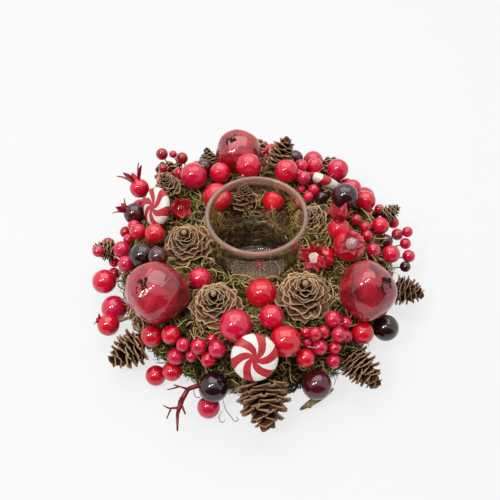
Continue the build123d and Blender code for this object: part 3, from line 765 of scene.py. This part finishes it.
def press_facets(fruit, centre, radius, normals, depths):
    """Press a ball into flat facets with soft ridges between them, a little dented."""
    for vertex in fruit.data.vertices:
        outward = (vertex.co - centre).normalized()
        dent = 1 + 0.014 * noise.noise(outward * 3.1 + centre * 40)
        dent -= 0.012 * max(0.0, 1 - abs(noise.noise(outward * 2.2 + centre * 90)) / 0.05)
        vertex.co = centre + outward * (radius * dent * facet_reach(outward, normals, depths))


calyx_crumbs = []
for fruit_name, axis_angles in pomegranate_axes.items():
    solid = solids_of(f"pomegranate_{fruit_name}")[0]
    centre = Vector((solid.min(axis=0) + solid.max(axis=0)) / 2)
    radius = float((solid.max(axis=0) - solid.min(axis=0)).max() / 2)
    axis = direction(*axis_angles)
    bpy.ops.object.select_all(action="DESELECT")
    bpy.ops.mesh.primitive_ico_sphere_add(subdivisions=6, radius=radius, location=centre)
    fruit = bpy.context.object
    fruit.name = f"pomegranate_fruit_{fruit_name}"
    put_in_place(fruit)
    normals, depths = [], []
    for facet in range(facets):
        rise = 1 - 2 * (facet + 0.5) / facets
        turn = golden_turn * facet
        level = sqrt(1 - rise * rise)
        normal = Vector((level * cos(turn), level * sin(turn), rise)) + Vector(random_fruit.normal(0, 0.16, 3))
        normals.append(normal.normalized())
        depths.append(random_fruit.uniform(0.93, 1.02))
    press_facets(fruit, centre, radius, normals, depths)
    bpy.ops.object.shade_smooth()
    fruit.data.materials.append(fruit_skin)
    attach(fruit, "ring")
    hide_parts(f"pomegranate_{fruit_name}")

    seat = centre + axis * (radius * facet_reach(axis, normals, depths))
    face_x = axis.orthogonal().normalized()
    face_y = axis.cross(face_x)
    for crumb in range(crumbs_in_calyx):
        turn = golden_turn * crumb
        off = calyx_radius * sqrt((crumb + 0.5) / crumbs_in_calyx)
        stretch = 1.35 if crumb % 2 else 0.85
        place = seat + face_x * (off * cos(turn) * stretch) + face_y * (off * sin(turn))
        bpy.ops.object.select_all(action="DESELECT")
        bpy.ops.mesh.primitive_ico_sphere_add(
            subdivisions=2, radius=random_fruit.uniform(0.8, 1.3) * mm, location=place - axis * crumb_sunk * mm
        )
        chunk = bpy.context.object
        put_in_place(chunk)
        for vertex in chunk.data.vertices:
            out = vertex.co - place
            vertex.co = place + out * (1 + 0.55 * noise.noise(vertex.co * 900))
        calyx_crumbs.append(lift_off(chunk))
calyx = gather("pomegranate_dry_calyxes", [(crumb, crumb.points, {}) for crumb in calyx_crumbs], charred)
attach(calyx, "ring")
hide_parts("pomegranate_calyxes")


# ------------------------------------------------------------------------------ berries
# Foam balls dipped in thick red lacquer, each on its own wire: crimson to raspberry, the dark
# ones burgundy to black. The lacquer pools a little, and leaves a shallow dimple at the far end.
berry_sizes = {"large": (40, 24), "small": (24, 15), "dark": (36, 22), "sprig": (24, 15)}
random_berries = np.random.default_rng(31)


def model_berry(segments, rings):
    """A round berry of radius 1 with its far end at +Z, pressed in to a shallow dimple."""
    bpy.ops.object.select_all(action="DESELECT")
    bpy.ops.mesh.primitive_uv_sphere_add(segments=segments, ring_count=rings, radius=1)
    berry = bpy.context.object
    tip_kept = []
    for vertex in berry.data.vertices:
        from_tip = hypot(vertex.co.x, vertex.co.y) if vertex.co.z > 0 else 1.0
        vertex.co.z -= 0.05 * max(0.0, 1 - from_tip / 0.2) ** 2
        tip_kept.append(max(0.0, 1 - from_tip / 0.12))
    return lift_off(berry, tip=np.array(tip_kept))


berry_shapes = {kind: model_berry(*counts) for kind, counts in berry_sizes.items()}


def red_lacquer(name, *stops):
    """Lacquer over a ramp of body colours, one place on it for each berry."""
    material, tree, shader = start_finish(
        name, Roughness=0.4, Coat_Weight=1.0, Coat_Roughness=0.015, Coat_IOR=1.6, Specular_IOR_Level=0.1
    )
    where = place_in(tree)
    pools = grain(tree, where, 0.16, detail=2)
    tone = plus(tree, kept_value(tree, "tone"), swing(tree, pools, 0.55))
    body = ramp(tree, tone, *stops)
    fleck = grain(tree, where, 1.1, detail=4)
    body = blend_in(tree, times(tree, fleck, 0.16), body, linear(60, 4, 10))
    dimmed = times(tree, kept_value(tree, "tip"), 0.45)
    give_colour(tree, shader, blend_in(tree, dimmed, body, linear(50, 10, 12)))
    give_bump(tree, shader, plus(tree, pools, times(tree, fleck, 0.12)), 0.25, 0.4 * mm)
    return material


lacquer = {
    "large": red_lacquer("lacquer_crimson", (0.1, (206, 4, 32)), (0.5, (218, 6, 46)), (0.9, (204, 10, 66))),
    "small": red_lacquer("lacquer_raspberry", (0.1, (194, 6, 34)), (0.5, (210, 12, 50)), (0.9, (200, 24, 72))),
    "sprig": red_lacquer("lacquer_deep_red", (0.1, (140, 6, 20)), (0.5, (178, 10, 34)), (0.9, (190, 20, 50))),
    "dark": red_lacquer("lacquer_black", (0.1, (10, 5, 8)), (0.45, (34, 7, 14)), (0.95, (78, 8, 24))),
}


def away_from_moss(place):
    """Direction in which a piece's wire comes out of the moss towards this place."""
    level = Vector((place.x, place.y, 0)).normalized() * ring_radius
    return (place - level - Vector((0, 0, moss_height))).normalized()


def place_ball(shape, centre, radius, axis, spin):
    """Points of a ball shape at its place, its far end along the axis."""
    turned = axis.to_track_quat("Z", "Y").to_matrix() @ Matrix.Rotation(spin, 3, "Z")
    squash = np.array((1, 1, random_berries.uniform(0.965, 1.0)))
    return (shape.points * squash) @ np.array(turned).T * radius + np.array(centre)


def berry_piece(node_name, kind):
    """The berries of one node, each a copy at its own size and place."""
    copies = []
    for solid in solids_of(node_name):
        low, high = solid.min(axis=0), solid.max(axis=0)
        centre = Vector((low + high) / 2)
        radius = float((high - low).max() / 2)
        spin = random_berries.uniform(0, 6)
        moved = place_ball(berry_shapes[kind], centre, radius, away_from_moss(centre), spin)
        copies.append((berry_shapes[kind], moved, {"tone": random_berries.uniform(0.1, 0.9)}))
    piece = gather(f"lacquered_{node_name}", copies, lacquer[kind])
    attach(piece, "ring")
    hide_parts(node_name)


for node_name in sorted(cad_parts):
    if node_name.startswith(("large_berries", "small_berries", "dark_berries", "sprig_berries")):
        berry_piece(node_name, node_name.split("_")[0])

red_bark = ((0.35, (66, 18, 18)), (0.6, (104, 28, 28)), (0.8, (140, 52, 44)))
sprig_bark = grained_finish("sprig_bark", 0.9, red_bark, 0.4, 0.2, detail=4, Roughness=0.55)
repaint(sprig_bark, "sprig_stems")


# ------------------------------------------------------------------------------ crowned berries
# Lacquered berries and buds that keep their calyx: a crown of fleshy sepals round a small cup,
# broad or long, some with a seed or a drop of clear resin in it. Two are black.
usual_look = dict(sepals=5, size=1.0, wide=0.3, point=2.6, centre=None)
crowned = {
    "right_large": dict(axis=(-90, 60), length=16, sepals=6, spread=66, size=0.72, wide=0.36, centre="resin"),
    "right_upright": dict(axis=(95, 60), faces=(95, 68), length=17, spread=20, size=1.2),
    "right_small": dict(
        axis=(180, 10), faces=(-125, 42), length=14, sepals=8, spread=58, size=0.86, wide=0.34, centre="disc"
    ),
    "left_small": dict(axis=(-80, 55), length=12, spread=37, size=1.25, wide=0.4, point=3.4, centre="seed"),
    "left_back": dict(axis=(119, 34), faces=(119, 38), length=17, spread=26, size=1.15, wide=0.15, point=5),
    "left_dark": dict(axis=(165, 15), faces=(150, 30), length=16, sepals=4, spread=26, size=0.85, wide=0.26),
    "left_low": dict(axis=(160, 20), faces=(160, 30), length=14, spread=34, size=0.6, wide=0.28),
    "front_dark": dict(axis=(-130, -12), length=28, sepals=0, spread=30),
}
# The branched twig on the front dark berry: start, end and the radius at each, in mm from the
# middle of the berry. The first start is in radii of the berry.
antler = [
    ((-0.8, 0.1, 0.15), (-16, -2, 1), 1.8, 1.5),
    ((-16, -2, 1), (-20, -9, -1), 1.5, 1.9),
    ((-20, -9, -1), (-22, -17, -3), 1.9, 1.1),
    ((-22, -17, -3), (-21.5, -27, -5), 1.1, 0.5),
    ((-16, -2, 1), (-25, 0, 3), 0.8, 0.4),
    ((-22, -1, 2), (-29, -3, 2), 0.6, 0.35),
    ((-21, -13, -2), (-27, -14, -1), 0.9, 0.6),
    ((-27, -14, -1), (-31, -12.5, 0), 0.6, 0.3),
    ((-26, -14, -1), (-28.5, -20, -3), 0.7, 0.35),
    ((-20, -11, -1), (-17, -17, -3), 0.9, 0.5),
]


def model_sepal(wide, point):
    """A fleshy sepal of length 1: keeled down its middle, pointed, curling out at the tip."""
    bpy.ops.object.select_all(action="DESELECT")
    bpy.ops.mesh.primitive_grid_add(x_subdivisions=4, y_subdivisions=8, size=1)
    sepal = bpy.context.object
    tips = []
    for vertex in sepal.data.vertices:
        across, along = 2 * vertex.co.x, vertex.co.y + 0.5
        half_width = wide * (0.72 + 0.5 * sin(pi * min(along * 1.1, 1.0))) * (1 - along**point) + 0.012
        vertex.co = (half_width * across, along, 0.5 * wide * across**2 * (along - 1.0) + 0.2 * along**3)
        tips.append(0.5 * (1 - abs(across)) * (1 - along))
    give_wall(sepal, 0.07)
    return lift_off(sepal, tip=np.array(tips * (len(sepal.data.vertices) // len(tips))))


def model_stub(segments, share):
    """A stub of length 1 and radius 1 that narrows to this share, for necks and branches."""
    bpy.ops.object.select_all(action="DESELECT")
    bpy.ops.mesh.primitive_cone_add(vertices=segments, radius1=1, radius2=share, depth=1, location=(0, 0, 0.5))
    stub = bpy.context.object
    put_in_place(stub)
    return lift_off(stub, tip=np.zeros(len(stub.data.vertices)))


def lay_stub(stub, start, end, thickness):
    """Points of a stub laid from one place to another."""
    along = end - start
    turned = np.array(along.to_track_quat("Z", "Y").to_matrix())
    return np.array(start) + (stub.points * np.array((thickness, thickness, along.length))) @ turned.T


resin_pinks = ((0.4, (196, 120, 126)), (0.6, (238, 214, 214)))
disc_pinks = ((0.35, (206, 158, 158)), (0.6, (236, 206, 200)))
seed_blacks = ((0.4, (16, 10, 12)), (0.7, (70, 40, 44)))
wet = dict(Coat_Weight=1.0, Coat_Roughness=0.02, Transmission_Weight=0.55, IOR=1.5)
clear_resin = grained_finish("clear_resin", 1.3, resin_pinks, 1.0, 0.8, Roughness=0.08, **wet)
pale_disc = grained_finish("pale_disc", 1.0, disc_pinks, 0.4, 0.3, detail=5, Roughness=0.45, Coat_Weight=0.4)
polished = dict(Roughness=0.3, Coat_Weight=1.0, Coat_Roughness=0.03)
dark_seed = grained_finish("dark_seed", 1.5, seed_blacks, 0.3, 0.1, **polished)
# What fills a crown: its finish, its half width and its half height. Both are shares of the
# berry's length, drawn in a little by fill_share.
fill_share = 0.7
centres = {
    "resin": (clear_resin, 0.40, 0.34),
    "disc": (pale_disc, 0.48, 0.12),
    "seed": (dark_seed, 0.20, 0.2),
}

sepal_reds = ((0.35, (124, 6, 20)), (0.55, (172, 14, 34)), (0.75, (200, 42, 58)))
sepal_skin, tree, shader = start_finish(
    "sepal_skin", Roughness=0.42, Coat_Weight=0.22, Coat_Roughness=0.1, Specular_IOR_Level=0.3
)
veins = grain(tree, place_in(tree), 0.8, detail=4, warp=0.8)
body = ramp(tree, veins, *sepal_reds)
give_colour(tree, shader, blend_in(tree, kept_value(tree, "tip"), body, linear(96, 8, 18)))
give_bump(tree, shader, veins, 0.4, 0.3 * mm)

# In radii of the berry: the seat of the crown and how far it moves towards where it faces. The
# feet of the sepals stand in a circle of this share of their reach, sunk by 0.4 mm.
seat_share = 0.84
lean_share = 0.55
foot_share = 0.26
sepal_sunk = 0.4

for crowned_name, own_look in crowned.items():
    look = {"faces": own_look["axis"], **usual_look, **own_look}
    node_name = f"crowned_berry_{crowned_name}"
    solid = solids_of(node_name)[0]
    axis = direction(*look["axis"])
    height = solid @ np.array(axis)
    top = height.max()
    crown_ring = solid[height > top - 0.6 * mm].mean(axis=0)
    centre = Vector(crown_ring) + axis * (top - look["length"] * mm - float(crown_ring @ np.array(axis)))
    radius = float(-((solid - np.array(centre)) @ np.array(axis)).min())
    kind = "dark" if crowned_name.endswith("_dark") else "large"
    shape = berry_shapes[kind]
    ball = place_ball(shape, centre, radius, away_from_moss(centre), 0.0)
    copies = [(shape, ball, {"tone": random_berries.uniform(0.2, 0.8)})]
    seat = centre + axis * radius * seat_share
    reach_from = (seat - centre).length
    faces = direction(*look["faces"])
    seat += faces * radius * lean_share * (1 - axis.dot(faces))
    reach = (look["length"] * mm - reach_from) * look["size"] / cos(radians(look["spread"]) * 0.8)
    axis = faces
    side = axis.orthogonal().normalized()
    other = axis.cross(side)
    sepal_shape = model_sepal(look["wide"], look["point"])
    crown_copies = []
    if crowned_name == "front_dark":
        for start, end, thick, thin in antler:
            start = centre + Vector(start) * (radius if Vector(start).length < 1 else mm)
            end = centre + Vector(end) * mm
            branch = model_stub(8, thin / thick)
            crown_copies.append((branch, lay_stub(branch, start, end, thick * mm), {"tip": 0.8}))
    for number in range(look["sepals"]):
        turn = 2 * pi * number / look["sepals"] + random_berries.normal(0, 0.12)
        outward = side * cos(turn) + other * sin(turn)
        spread = radians(look["spread"]) + random_berries.normal(0, 0.1)
        pointing = outward * sin(spread) + axis * cos(spread)
        back = axis * sin(spread) - outward * cos(spread)
        beside = pointing.cross(back)
        long = reach * random_berries.uniform(0.85, 1.08)
        base = seat + outward * foot_share * reach - axis * sepal_sunk * mm
        local = sepal_shape.points
        moved = np.array(base) + (
            np.outer(local[:, 0] * long, np.array(beside))
            + np.outer(local[:, 1] * long, np.array(pointing))
            - np.outer(local[:, 2] * long, np.array(back))
        )
        crown_copies.append((sepal_shape, moved, {}))
    crown = gather(f"crown_points_{crowned_name}", crown_copies, sepal_skin)
    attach(crown, "ring")
    piece = gather(f"crowned_{crowned_name}", copies, lacquer[kind])
    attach(piece, "ring")
    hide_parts(node_name)
    if look["centre"]:
        finish, wide, tall = centres[look["centre"]]
        bpy.ops.object.select_all(action="DESELECT")
        bpy.ops.mesh.primitive_ico_sphere_add(subdivisions=4, radius=1)
        drop = bpy.context.object
        drop.name = f"crown_centre_{crowned_name}"
        spread = Vector((wide, wide, tall)) * look["length"] * fill_share * mm
        for vertex in drop.data.vertices:
            vertex.co *= 1 + 0.12 * noise.noise(vertex.co * 2.2)
            vertex.co = Vector(a * b for a, b in zip(vertex.co, spread))
        drop.location = seat + axis * 0.5 * mm
        drop.rotation_euler = axis.to_track_quat("Z", "Y").to_euler()
        put_in_place(drop)
        bpy.ops.object.shade_smooth()
        drop.data.materials.append(finish)
        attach(drop, "ring")


# ------------------------------------------------------------------------------ candies
# Round pulled-sugar candies, white with a pinwheel of red blades that curve from a red hub to
# the rim and on over the edge. Each is glued to its pick.
candy_axes = {"front": (-90, 53), "left": (-151, 32), "right": (60, 30)}
candy_radius = 14.4 * mm
candy_half = 4.0 * mm
blades = 6
steps_in_blade = 12
candy_twist = radians(40)
hub_share = 0.195
candy_rings = (0.0, 0.08, 0.16, 0.19, 0.23, 0.30, 0.40, 0.52, 0.64, 0.76, 0.86, 0.93, 0.98, 1.0)


sugar_whites = ((0.35, (216, 212, 205)), (0.65, (236, 233, 228)))
sugar_reds = ((0.35, (158, 16, 30)), (0.65, (192, 30, 46)))
satin = dict(Roughness=0.5, Coat_Weight=0.15, Coat_Roughness=0.3)
white_sugar = grained_finish("white_sugar", 0.5, sugar_whites, 0.3, 0.25, detail=5, **satin)
red_sugar = grained_finish("red_sugar", 0.5, sugar_reds, 0.3, 0.25, detail=5, **satin)


def white_share(share):
    """How much of each blade's turn is white at this share of the radius."""
    return 0.02 + 0.50 * min(max((share - 0.2) / 0.62, 0.0), 1.0) ** 0.72


for candy_name, axis_angles in candy_axes.items():
    node_name = f"candy_{candy_name}"
    solid = solids_of(node_name)[0]
    centre = (solid.min(axis=0) + solid.max(axis=0)) / 2
    axis = direction(*axis_angles)
    face_x = np.array(axis.orthogonal().normalized())
    face_y = np.cross(np.array(axis), face_x)
    around = blades * 2 * steps_in_blade
    rows = [(share, 1) for share in candy_rings[1:]]
    rows += [(share, -1) for share in candy_rings[-2:0:-1]]
    points = [centre + np.array(axis) * candy_half]
    for share, face in rows:
        depth = candy_half * max(0.0, 1 - share**5) ** 0.45 * face
        for number in range(around):
            blade, step = divmod(number, 2 * steps_in_blade)
            white = white_share(share)
            if step < steps_in_blade:
                part = white * step / steps_in_blade
            else:
                part = white + (1 - white) * (step / steps_in_blade - 1)
            turn = 2 * pi * (blade + part) / blades + candy_twist * share
            flat = (face_x * cos(turn) + face_y * sin(turn)) * candy_radius * share
            points.append(centre + flat + np.array(axis) * depth)
    points.append(centre - np.array(axis) * candy_half)
    faces, is_red = [], []
    last = len(points) - 1
    for number in range(around):
        following = (number + 1) % around
        faces.append((0, 1 + number, 1 + following))
        is_red.append(True)
        for row in range(len(rows) - 1):
            low, high = 1 + row * around, 1 + (row + 1) * around
            faces.append((low + number, high + number, high + following, low + following))
            hub = max(rows[row][0], rows[row + 1][0]) <= hub_share
            is_red.append(hub or number % (2 * steps_in_blade) >= steps_in_blade)
        low = 1 + (len(rows) - 1) * around
        faces.append((low + number, last, low + following))
        is_red.append(True)
    mesh = bpy.data.meshes.new(f"peppermint_{candy_name}")
    mesh.from_pydata([tuple(point) for point in points], [], faces)
    mesh.materials.append(white_sugar)
    mesh.materials.append(red_sugar)
    mesh.polygons.foreach_set("material_index", [1 if red else 0 for red in is_red])
    mesh.polygons.foreach_set("use_smooth", [True] * len(faces))
    mesh.update()
    candy = bpy.data.objects.new(f"peppermint_{candy_name}", mesh)
    bpy.context.collection.objects.link(candy)
    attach(candy, "ring")
    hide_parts(node_name)


# ------------------------------------------------------------------------------ cut twig
# A short cut end of a twig sticks out of the moss at the front right. It keeps its CAD shape.
bark_greys = ((0.3, (70, 52, 34)), (0.55, (120, 96, 64)), (0.75, (168, 146, 110)))
bark = grained_finish("bark", 0.7, bark_greys, 0.9, 0.5, detail=7, rough=0.7, warp=0.5, Roughness=0.85)
repaint(bark, "cut_twig")


# ------------------------------------------------------------------------------ loose bits
# Bits that come with such a wreath: dry grass bent over the moss beside the cup, thin curly
# wire at the foot, a stiff red star of sticks and one pale curled leaf beside the cut twig.
def bent_line(name, route, thickness, material):
    """A thin round stalk through these points, in millimetres, narrowed at both ends."""
    curve = bpy.data.curves.new(name, "CURVE")
    curve.dimensions = "3D"
    spline = curve.splines.new("BEZIER")
    spline.bezier_points.add(len(route) - 1)
    for number, (knot, place) in enumerate(zip(spline.bezier_points, route)):
        knot.co = Vector(place) * mm
        knot.handle_left_type = knot.handle_right_type = "AUTO"
        knot.radius = 0.5 if number in (0, len(route) - 1) else 1.0
    curve.resolution_u = 6
    curve.bevel_depth = thickness * mm
    curve.bevel_resolution = 2
    curve.use_fill_caps = True
    stalk = bpy.data.objects.new(name, curve)
    bpy.context.collection.objects.link(stalk)
    only_this(stalk)
    bpy.ops.object.convert(target="MESH")
    stalk = bpy.context.object
    bpy.ops.object.shade_smooth()
    stalk.data.materials.clear()
    stalk.data.materials.append(material)
    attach(stalk, "ring")
    return stalk


stick_shape = model_stub(6, 0.35)
grass_golds = ((0.3, (176, 122, 48)), (0.55, (218, 172, 84)), (0.8, (236, 204, 132)))
dry_grass, tree, shader = start_finish("dry_grass", Roughness=0.6)
straw_tone = grain(tree, place_in(tree), 0.3, detail=3)
give_colour(tree, shader, ramp(tree, straw_tone, *grass_golds))
give_bump(tree, shader, grain(tree, place_in(tree), 2.0), 0.3, 0.1 * mm)

wire_browns = ((0.35, (44, 36, 26)), (0.7, (92, 80, 54)))
curly_wire = grained_finish("curly_wire", 0.9, wire_browns, 0.3, 0.05, Roughness=0.5, Metallic=0.4)

grass_routes = [
    [(-23.1, -31.5, 31), (-19.5, -28.0, 38), (-14.7, -26.9, 41), (-8.5, -26.7, 42),
     (-3.0, -28.5, 41), (1.1, -31.8, 36)],
    [(3.9, -32.9, 34), (7.9, -29.7, 41), (13.4, -29.6, 42), (18.2, -32.2, 36)],
    [(53.2, -11.3, 33), (57.4, -15.1, 39), (60.5, -19.5, 38), (62.8, -22.6, 32)],
    [(-40.9, -44.7, 34), (-46.0, -42.3, 42), (-49.1, -36.8, 41), (-45.6, -32.3, 35)],
    [(-54.7, -39.8, 34), (-48.9, -39.9, 42), (-43.5, -40.0, 41), (-40.4, -41.4, 34)],
    [(44.8, -39.3, 32), (46.0, -47.7, 38), (49.6, -52.4, 37), (51.7, -56.2, 31)],
    [(-47.6, -47.4, 32), (-44.1, -55.4, 38), (-40.2, -57.3, 34)],
    [(38.9, -82.9, 28), (43.5, -89.2, 24), (46.3, -93.8, 17), (48.4, -100.3, 8)],
]
for number, route in enumerate(grass_routes):
    blade_of_grass = bent_line(f"dry_grass_{number + 1}", route, 0.3, dry_grass)
wire_routes = [
    [(-22.7, -101.1, 10), (-20.0, -109.7, 5), (-16.7, -113.0, 2), (-14.4, -115.6, 1),
     (-12.2, -114.9, 1.4), (-13.9, -112.9, 2)],
    [(-22.6, -110.3, 4.6), (-24.6, -114.3, 2.2), (-22.4, -116.4, 1), (-20.4, -114.6, 1.4)],
    [(-37.7, -93.3, 16), (-41.3, -98.5, 8), (-39.2, -101.0, 5), (-35.6, -99.6, 8), (-34.2, -95.5, 12)],
]
for number, route in enumerate(wire_routes):
    wire = bent_line(f"curly_wire_{number + 1}", route, 0.22, curly_wire)

star_sticks = []
star_place = Vector((47.3, -47.0, 34)) * mm
for turn in range(0, 360, 60):
    elevation, length = (34, 9) if turn % 120 else (62, 7)
    end = star_place + (direction(turn + 12, elevation) * length) * mm
    star_sticks.append((stick_shape, lay_stub(stick_shape, star_place, end, 0.55 * mm), {}))
star_twig = gather("star_twig", star_sticks, sepal_skin)
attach(star_twig, "ring")

bpy.ops.object.select_all(action="DESELECT")
bpy.ops.mesh.primitive_grid_add(x_subdivisions=6, y_subdivisions=14, size=1)
curled_leaf = bpy.context.object
curled_leaf.name = "curled_leaf"
leaf_foot = Vector((50, -99, 14))
leaf_tip = Vector((28, -110, 6))
for vertex in curled_leaf.data.vertices:
    across, along = 2 * vertex.co.x, vertex.co.y + 0.5
    half_width = 2.6 * sin(pi * min(1.0, along * 0.94 + 0.03)) ** 0.7
    fold = 1.1 * abs(across) * sin(pi * along) + 0.5 * noise.noise(Vector((across, along * 5, 2)))
    spine = leaf_foot.lerp(leaf_tip, along) + Vector((0, 0, 3.2 * along * (along - 1)))
    vertex.co = (spine + Vector((0.44, -0.88, 0.2)) * half_width * across + Vector((0, 0, fold))) * mm
give_wall(curled_leaf, 0.3 * mm)
bpy.ops.object.shade_smooth()
leaf_tans = ((0.3, (78, 58, 34)), (0.5, (142, 118, 72)), (0.7, (196, 178, 124)))
dry_leaf = grained_finish("dry_leaf", 0.5, leaf_tans, 0.6, 0.4, detail=6, warp=0.6, Roughness=0.7)
curled_leaf.data.materials.append(dry_leaf)
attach(curled_leaf, "ring")


# ------------------------------------------------------------------------------ glass cup
# A votive cup of clear pressed glass: a thick round base, walls that open towards a rounded
# rim, which is painted tan and less clear as a painted reflection of the brown moss that the rim
# refracts. It stands loose in the wreath and lifts straight out.
cup_outline = [
    (0, 1.9), (19.0, 1.9), (20.6, 1.2), (21.6, 0.2), (23.4, 0.05), (24.4, 0.4), (25.6, 2.0), (26.4, 4.0),
    (28.3, 20.0), (30.6, 40.0), (33.0, 60.0), (34.35, 71.4), (34.95, 72.3), (34.75, 73.2), (34.1, 73.8),
    (33.3, 73.98), (32.5, 73.8), (31.85, 73.2), (31.65, 72.3), (31.95, 71.2), (30.6, 60.0), (28.2, 42.0),
    (25.6, 24.0), (23.6, 13.0), (22.4, 10.0), (20.5, 8.6), (17.0, 8.1), (0, 8.0),
]
cup_steps = 128
votive_cup = spin_round("votive_cup", cup_outline, cup_steps)

clear_glass, tree, shader = start_finish("clear_glass", Roughness=0.0, IOR=1.45, Specular_IOR_Level=0.5)
where = place_in(tree)
drawn = grain(tree, where, 0.05, detail=2)
heights = add_node(tree, "SeparateXYZ", {"Vector": where}).outputs["Z"]
walls = ramp(tree, drawn, (0.3, (240, 229, 216)), (0.7, (247, 239, 228)))
# Towards the rim the glass is painted tan and made less clear: a painted reflection of the brown moss round
# it.
at_rim = fade(tree, heights, 68.0, 71.5)
give_colour(tree, shader, blend_in(tree, at_rim, walls, linear(192, 152, 132)))
tree.links.new(fade(tree, at_rim, 0.0, 1.0, 1.0, 0.6), shader.inputs["Transmission Weight"])
give_bump(tree, shader, drawn, 0.05, 0.3 * mm)
votive_cup.visible_shadow = False  # clear glass would darken the moss behind it too much
votive_cup.data.materials.append(clear_glass)
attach(votive_cup, "cup")
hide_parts("glass_cup")


# ------------------------------------------------------------------------------ table and light
# A plain pale table under soft studio light, seen from the front and from well above. Away from
# the ring the table mostly shows the white of the background, also in glass and in gloss.
background = linear(247, 247, 247)
table_glow = 0.8
world_fill = 0.38
camera_elevation = 52.55


def larger(tree, first, second):
    """The larger of two values, as a node."""
    return reckon(tree, "MAXIMUM", first, second)


bpy.ops.object.select_all(action="DESELECT")
bpy.ops.mesh.primitive_plane_add(size=8)
table_top = bpy.context.object
table_top.name = "table_top"
pale, tree, shader = start_finish("pale_table", Roughness=0.9, Specular_IOR_Level=0.1)
table_greys = ((0.0, (233, 233, 233)), (1.0, (236, 236, 236)))
give_colour(tree, shader, ramp(tree, grain(tree, place_in(tree), 0.02), *table_greys))
seen = add_node(tree, "LightPath")
shows = larger(tree, seen.outputs["Is Camera Ray"], seen.outputs["Is Transmission Ray"])
shows = larger(tree, shows, seen.outputs["Is Glossy Ray"])
glow = add_node(tree, "Emission", {"Color": background, "Strength": 1.0}).outputs[0]
off_middle = add_node(tree, "VectorMath", {0: place_in(tree)}, operation="LENGTH").outputs["Value"]
beyond_ring = fade(tree, off_middle, 60, 105, interpolation_type="SMOOTHSTEP")
part = times(tree, times(tree, shows, table_glow), beyond_ring)
both = add_node(tree, "MixShader", {0: part, 1: shader.outputs[0], 2: glow}).outputs[0]
tree.links.new(both, tree.nodes["Material Output"].inputs["Surface"])
table_top.data.materials.append(pale)

world = bpy.data.worlds.new("studio")
bpy.context.scene.world = world
world.use_nodes = True
tree = world.node_tree
backdrop = tree.nodes["Background"]
seen = add_node(tree, "LightPath")
shows = larger(tree, seen.outputs["Is Camera Ray"], seen.outputs["Is Transmission Ray"])
rays = add_node(tree, "TexCoord").outputs["Generated"]
towards_back = add_node(tree, "SeparateXYZ", {"Vector": rays}).outputs["Y"]
bright_back = fade(tree, towards_back, -0.56, -0.5, 0.04, 1.0)
glossy_level = times(tree, seen.outputs["Is Glossy Ray"], bright_back)
diffuse_level = times(tree, seen.outputs["Is Diffuse Ray"], world_fill)
level = larger(tree, larger(tree, shows, glossy_level), diffuse_level)
tree.links.new(level, backdrop.inputs["Strength"])
backdrop.inputs["Color"].default_value = background


def soft_lamp(name, towards, distance, size, power):
    """A studio lamp of this width and height that faces the middle of the ring."""
    lamp = bpy.data.lights.new(name, "AREA")
    lamp.shape = "RECTANGLE"
    lamp.size, lamp.size_y = size
    lamp.energy = power
    made = bpy.data.objects.new(name, lamp)
    bpy.context.collection.objects.link(made)
    made.location = Vector(towards).normalized() * distance + Vector((0, 0, 0.03))
    made.rotation_euler = Vector(towards).to_track_quat("Z", "Y").to_euler()


soft_lamp("window_left", (-0.46, -0.36, 0.81), 1.3, (0.17, 0.26), 5.4)
soft_lamp("window_middle", (-0.20, -0.29, 0.93), 1.3, (0.055, 0.20), 1.6)
soft_lamp("window_right", (-0.08, -0.25, 0.96), 1.3, (0.055, 0.20), 1.6)
soft_lamp("ceiling", (0.0, 0.42, 0.9), 1.2, (1.5, 1.05), 11.5)

view = bpy.data.cameras.new("camera")
view.sensor_width = 36
view.lens = 44.94
view.clip_start = 0.01
camera = bpy.data.objects.new("camera", view)
bpy.context.collection.objects.link(camera)
camera.location = Vector((-4.38, -274.22, 391.25)) * mm
camera.rotation_euler = (radians(90 - camera_elevation), 0, 0)
bpy.context.scene.camera = camera
bpy.context.scene.view_settings.view_transform = "Standard"

bpy.context.view_layer.update()
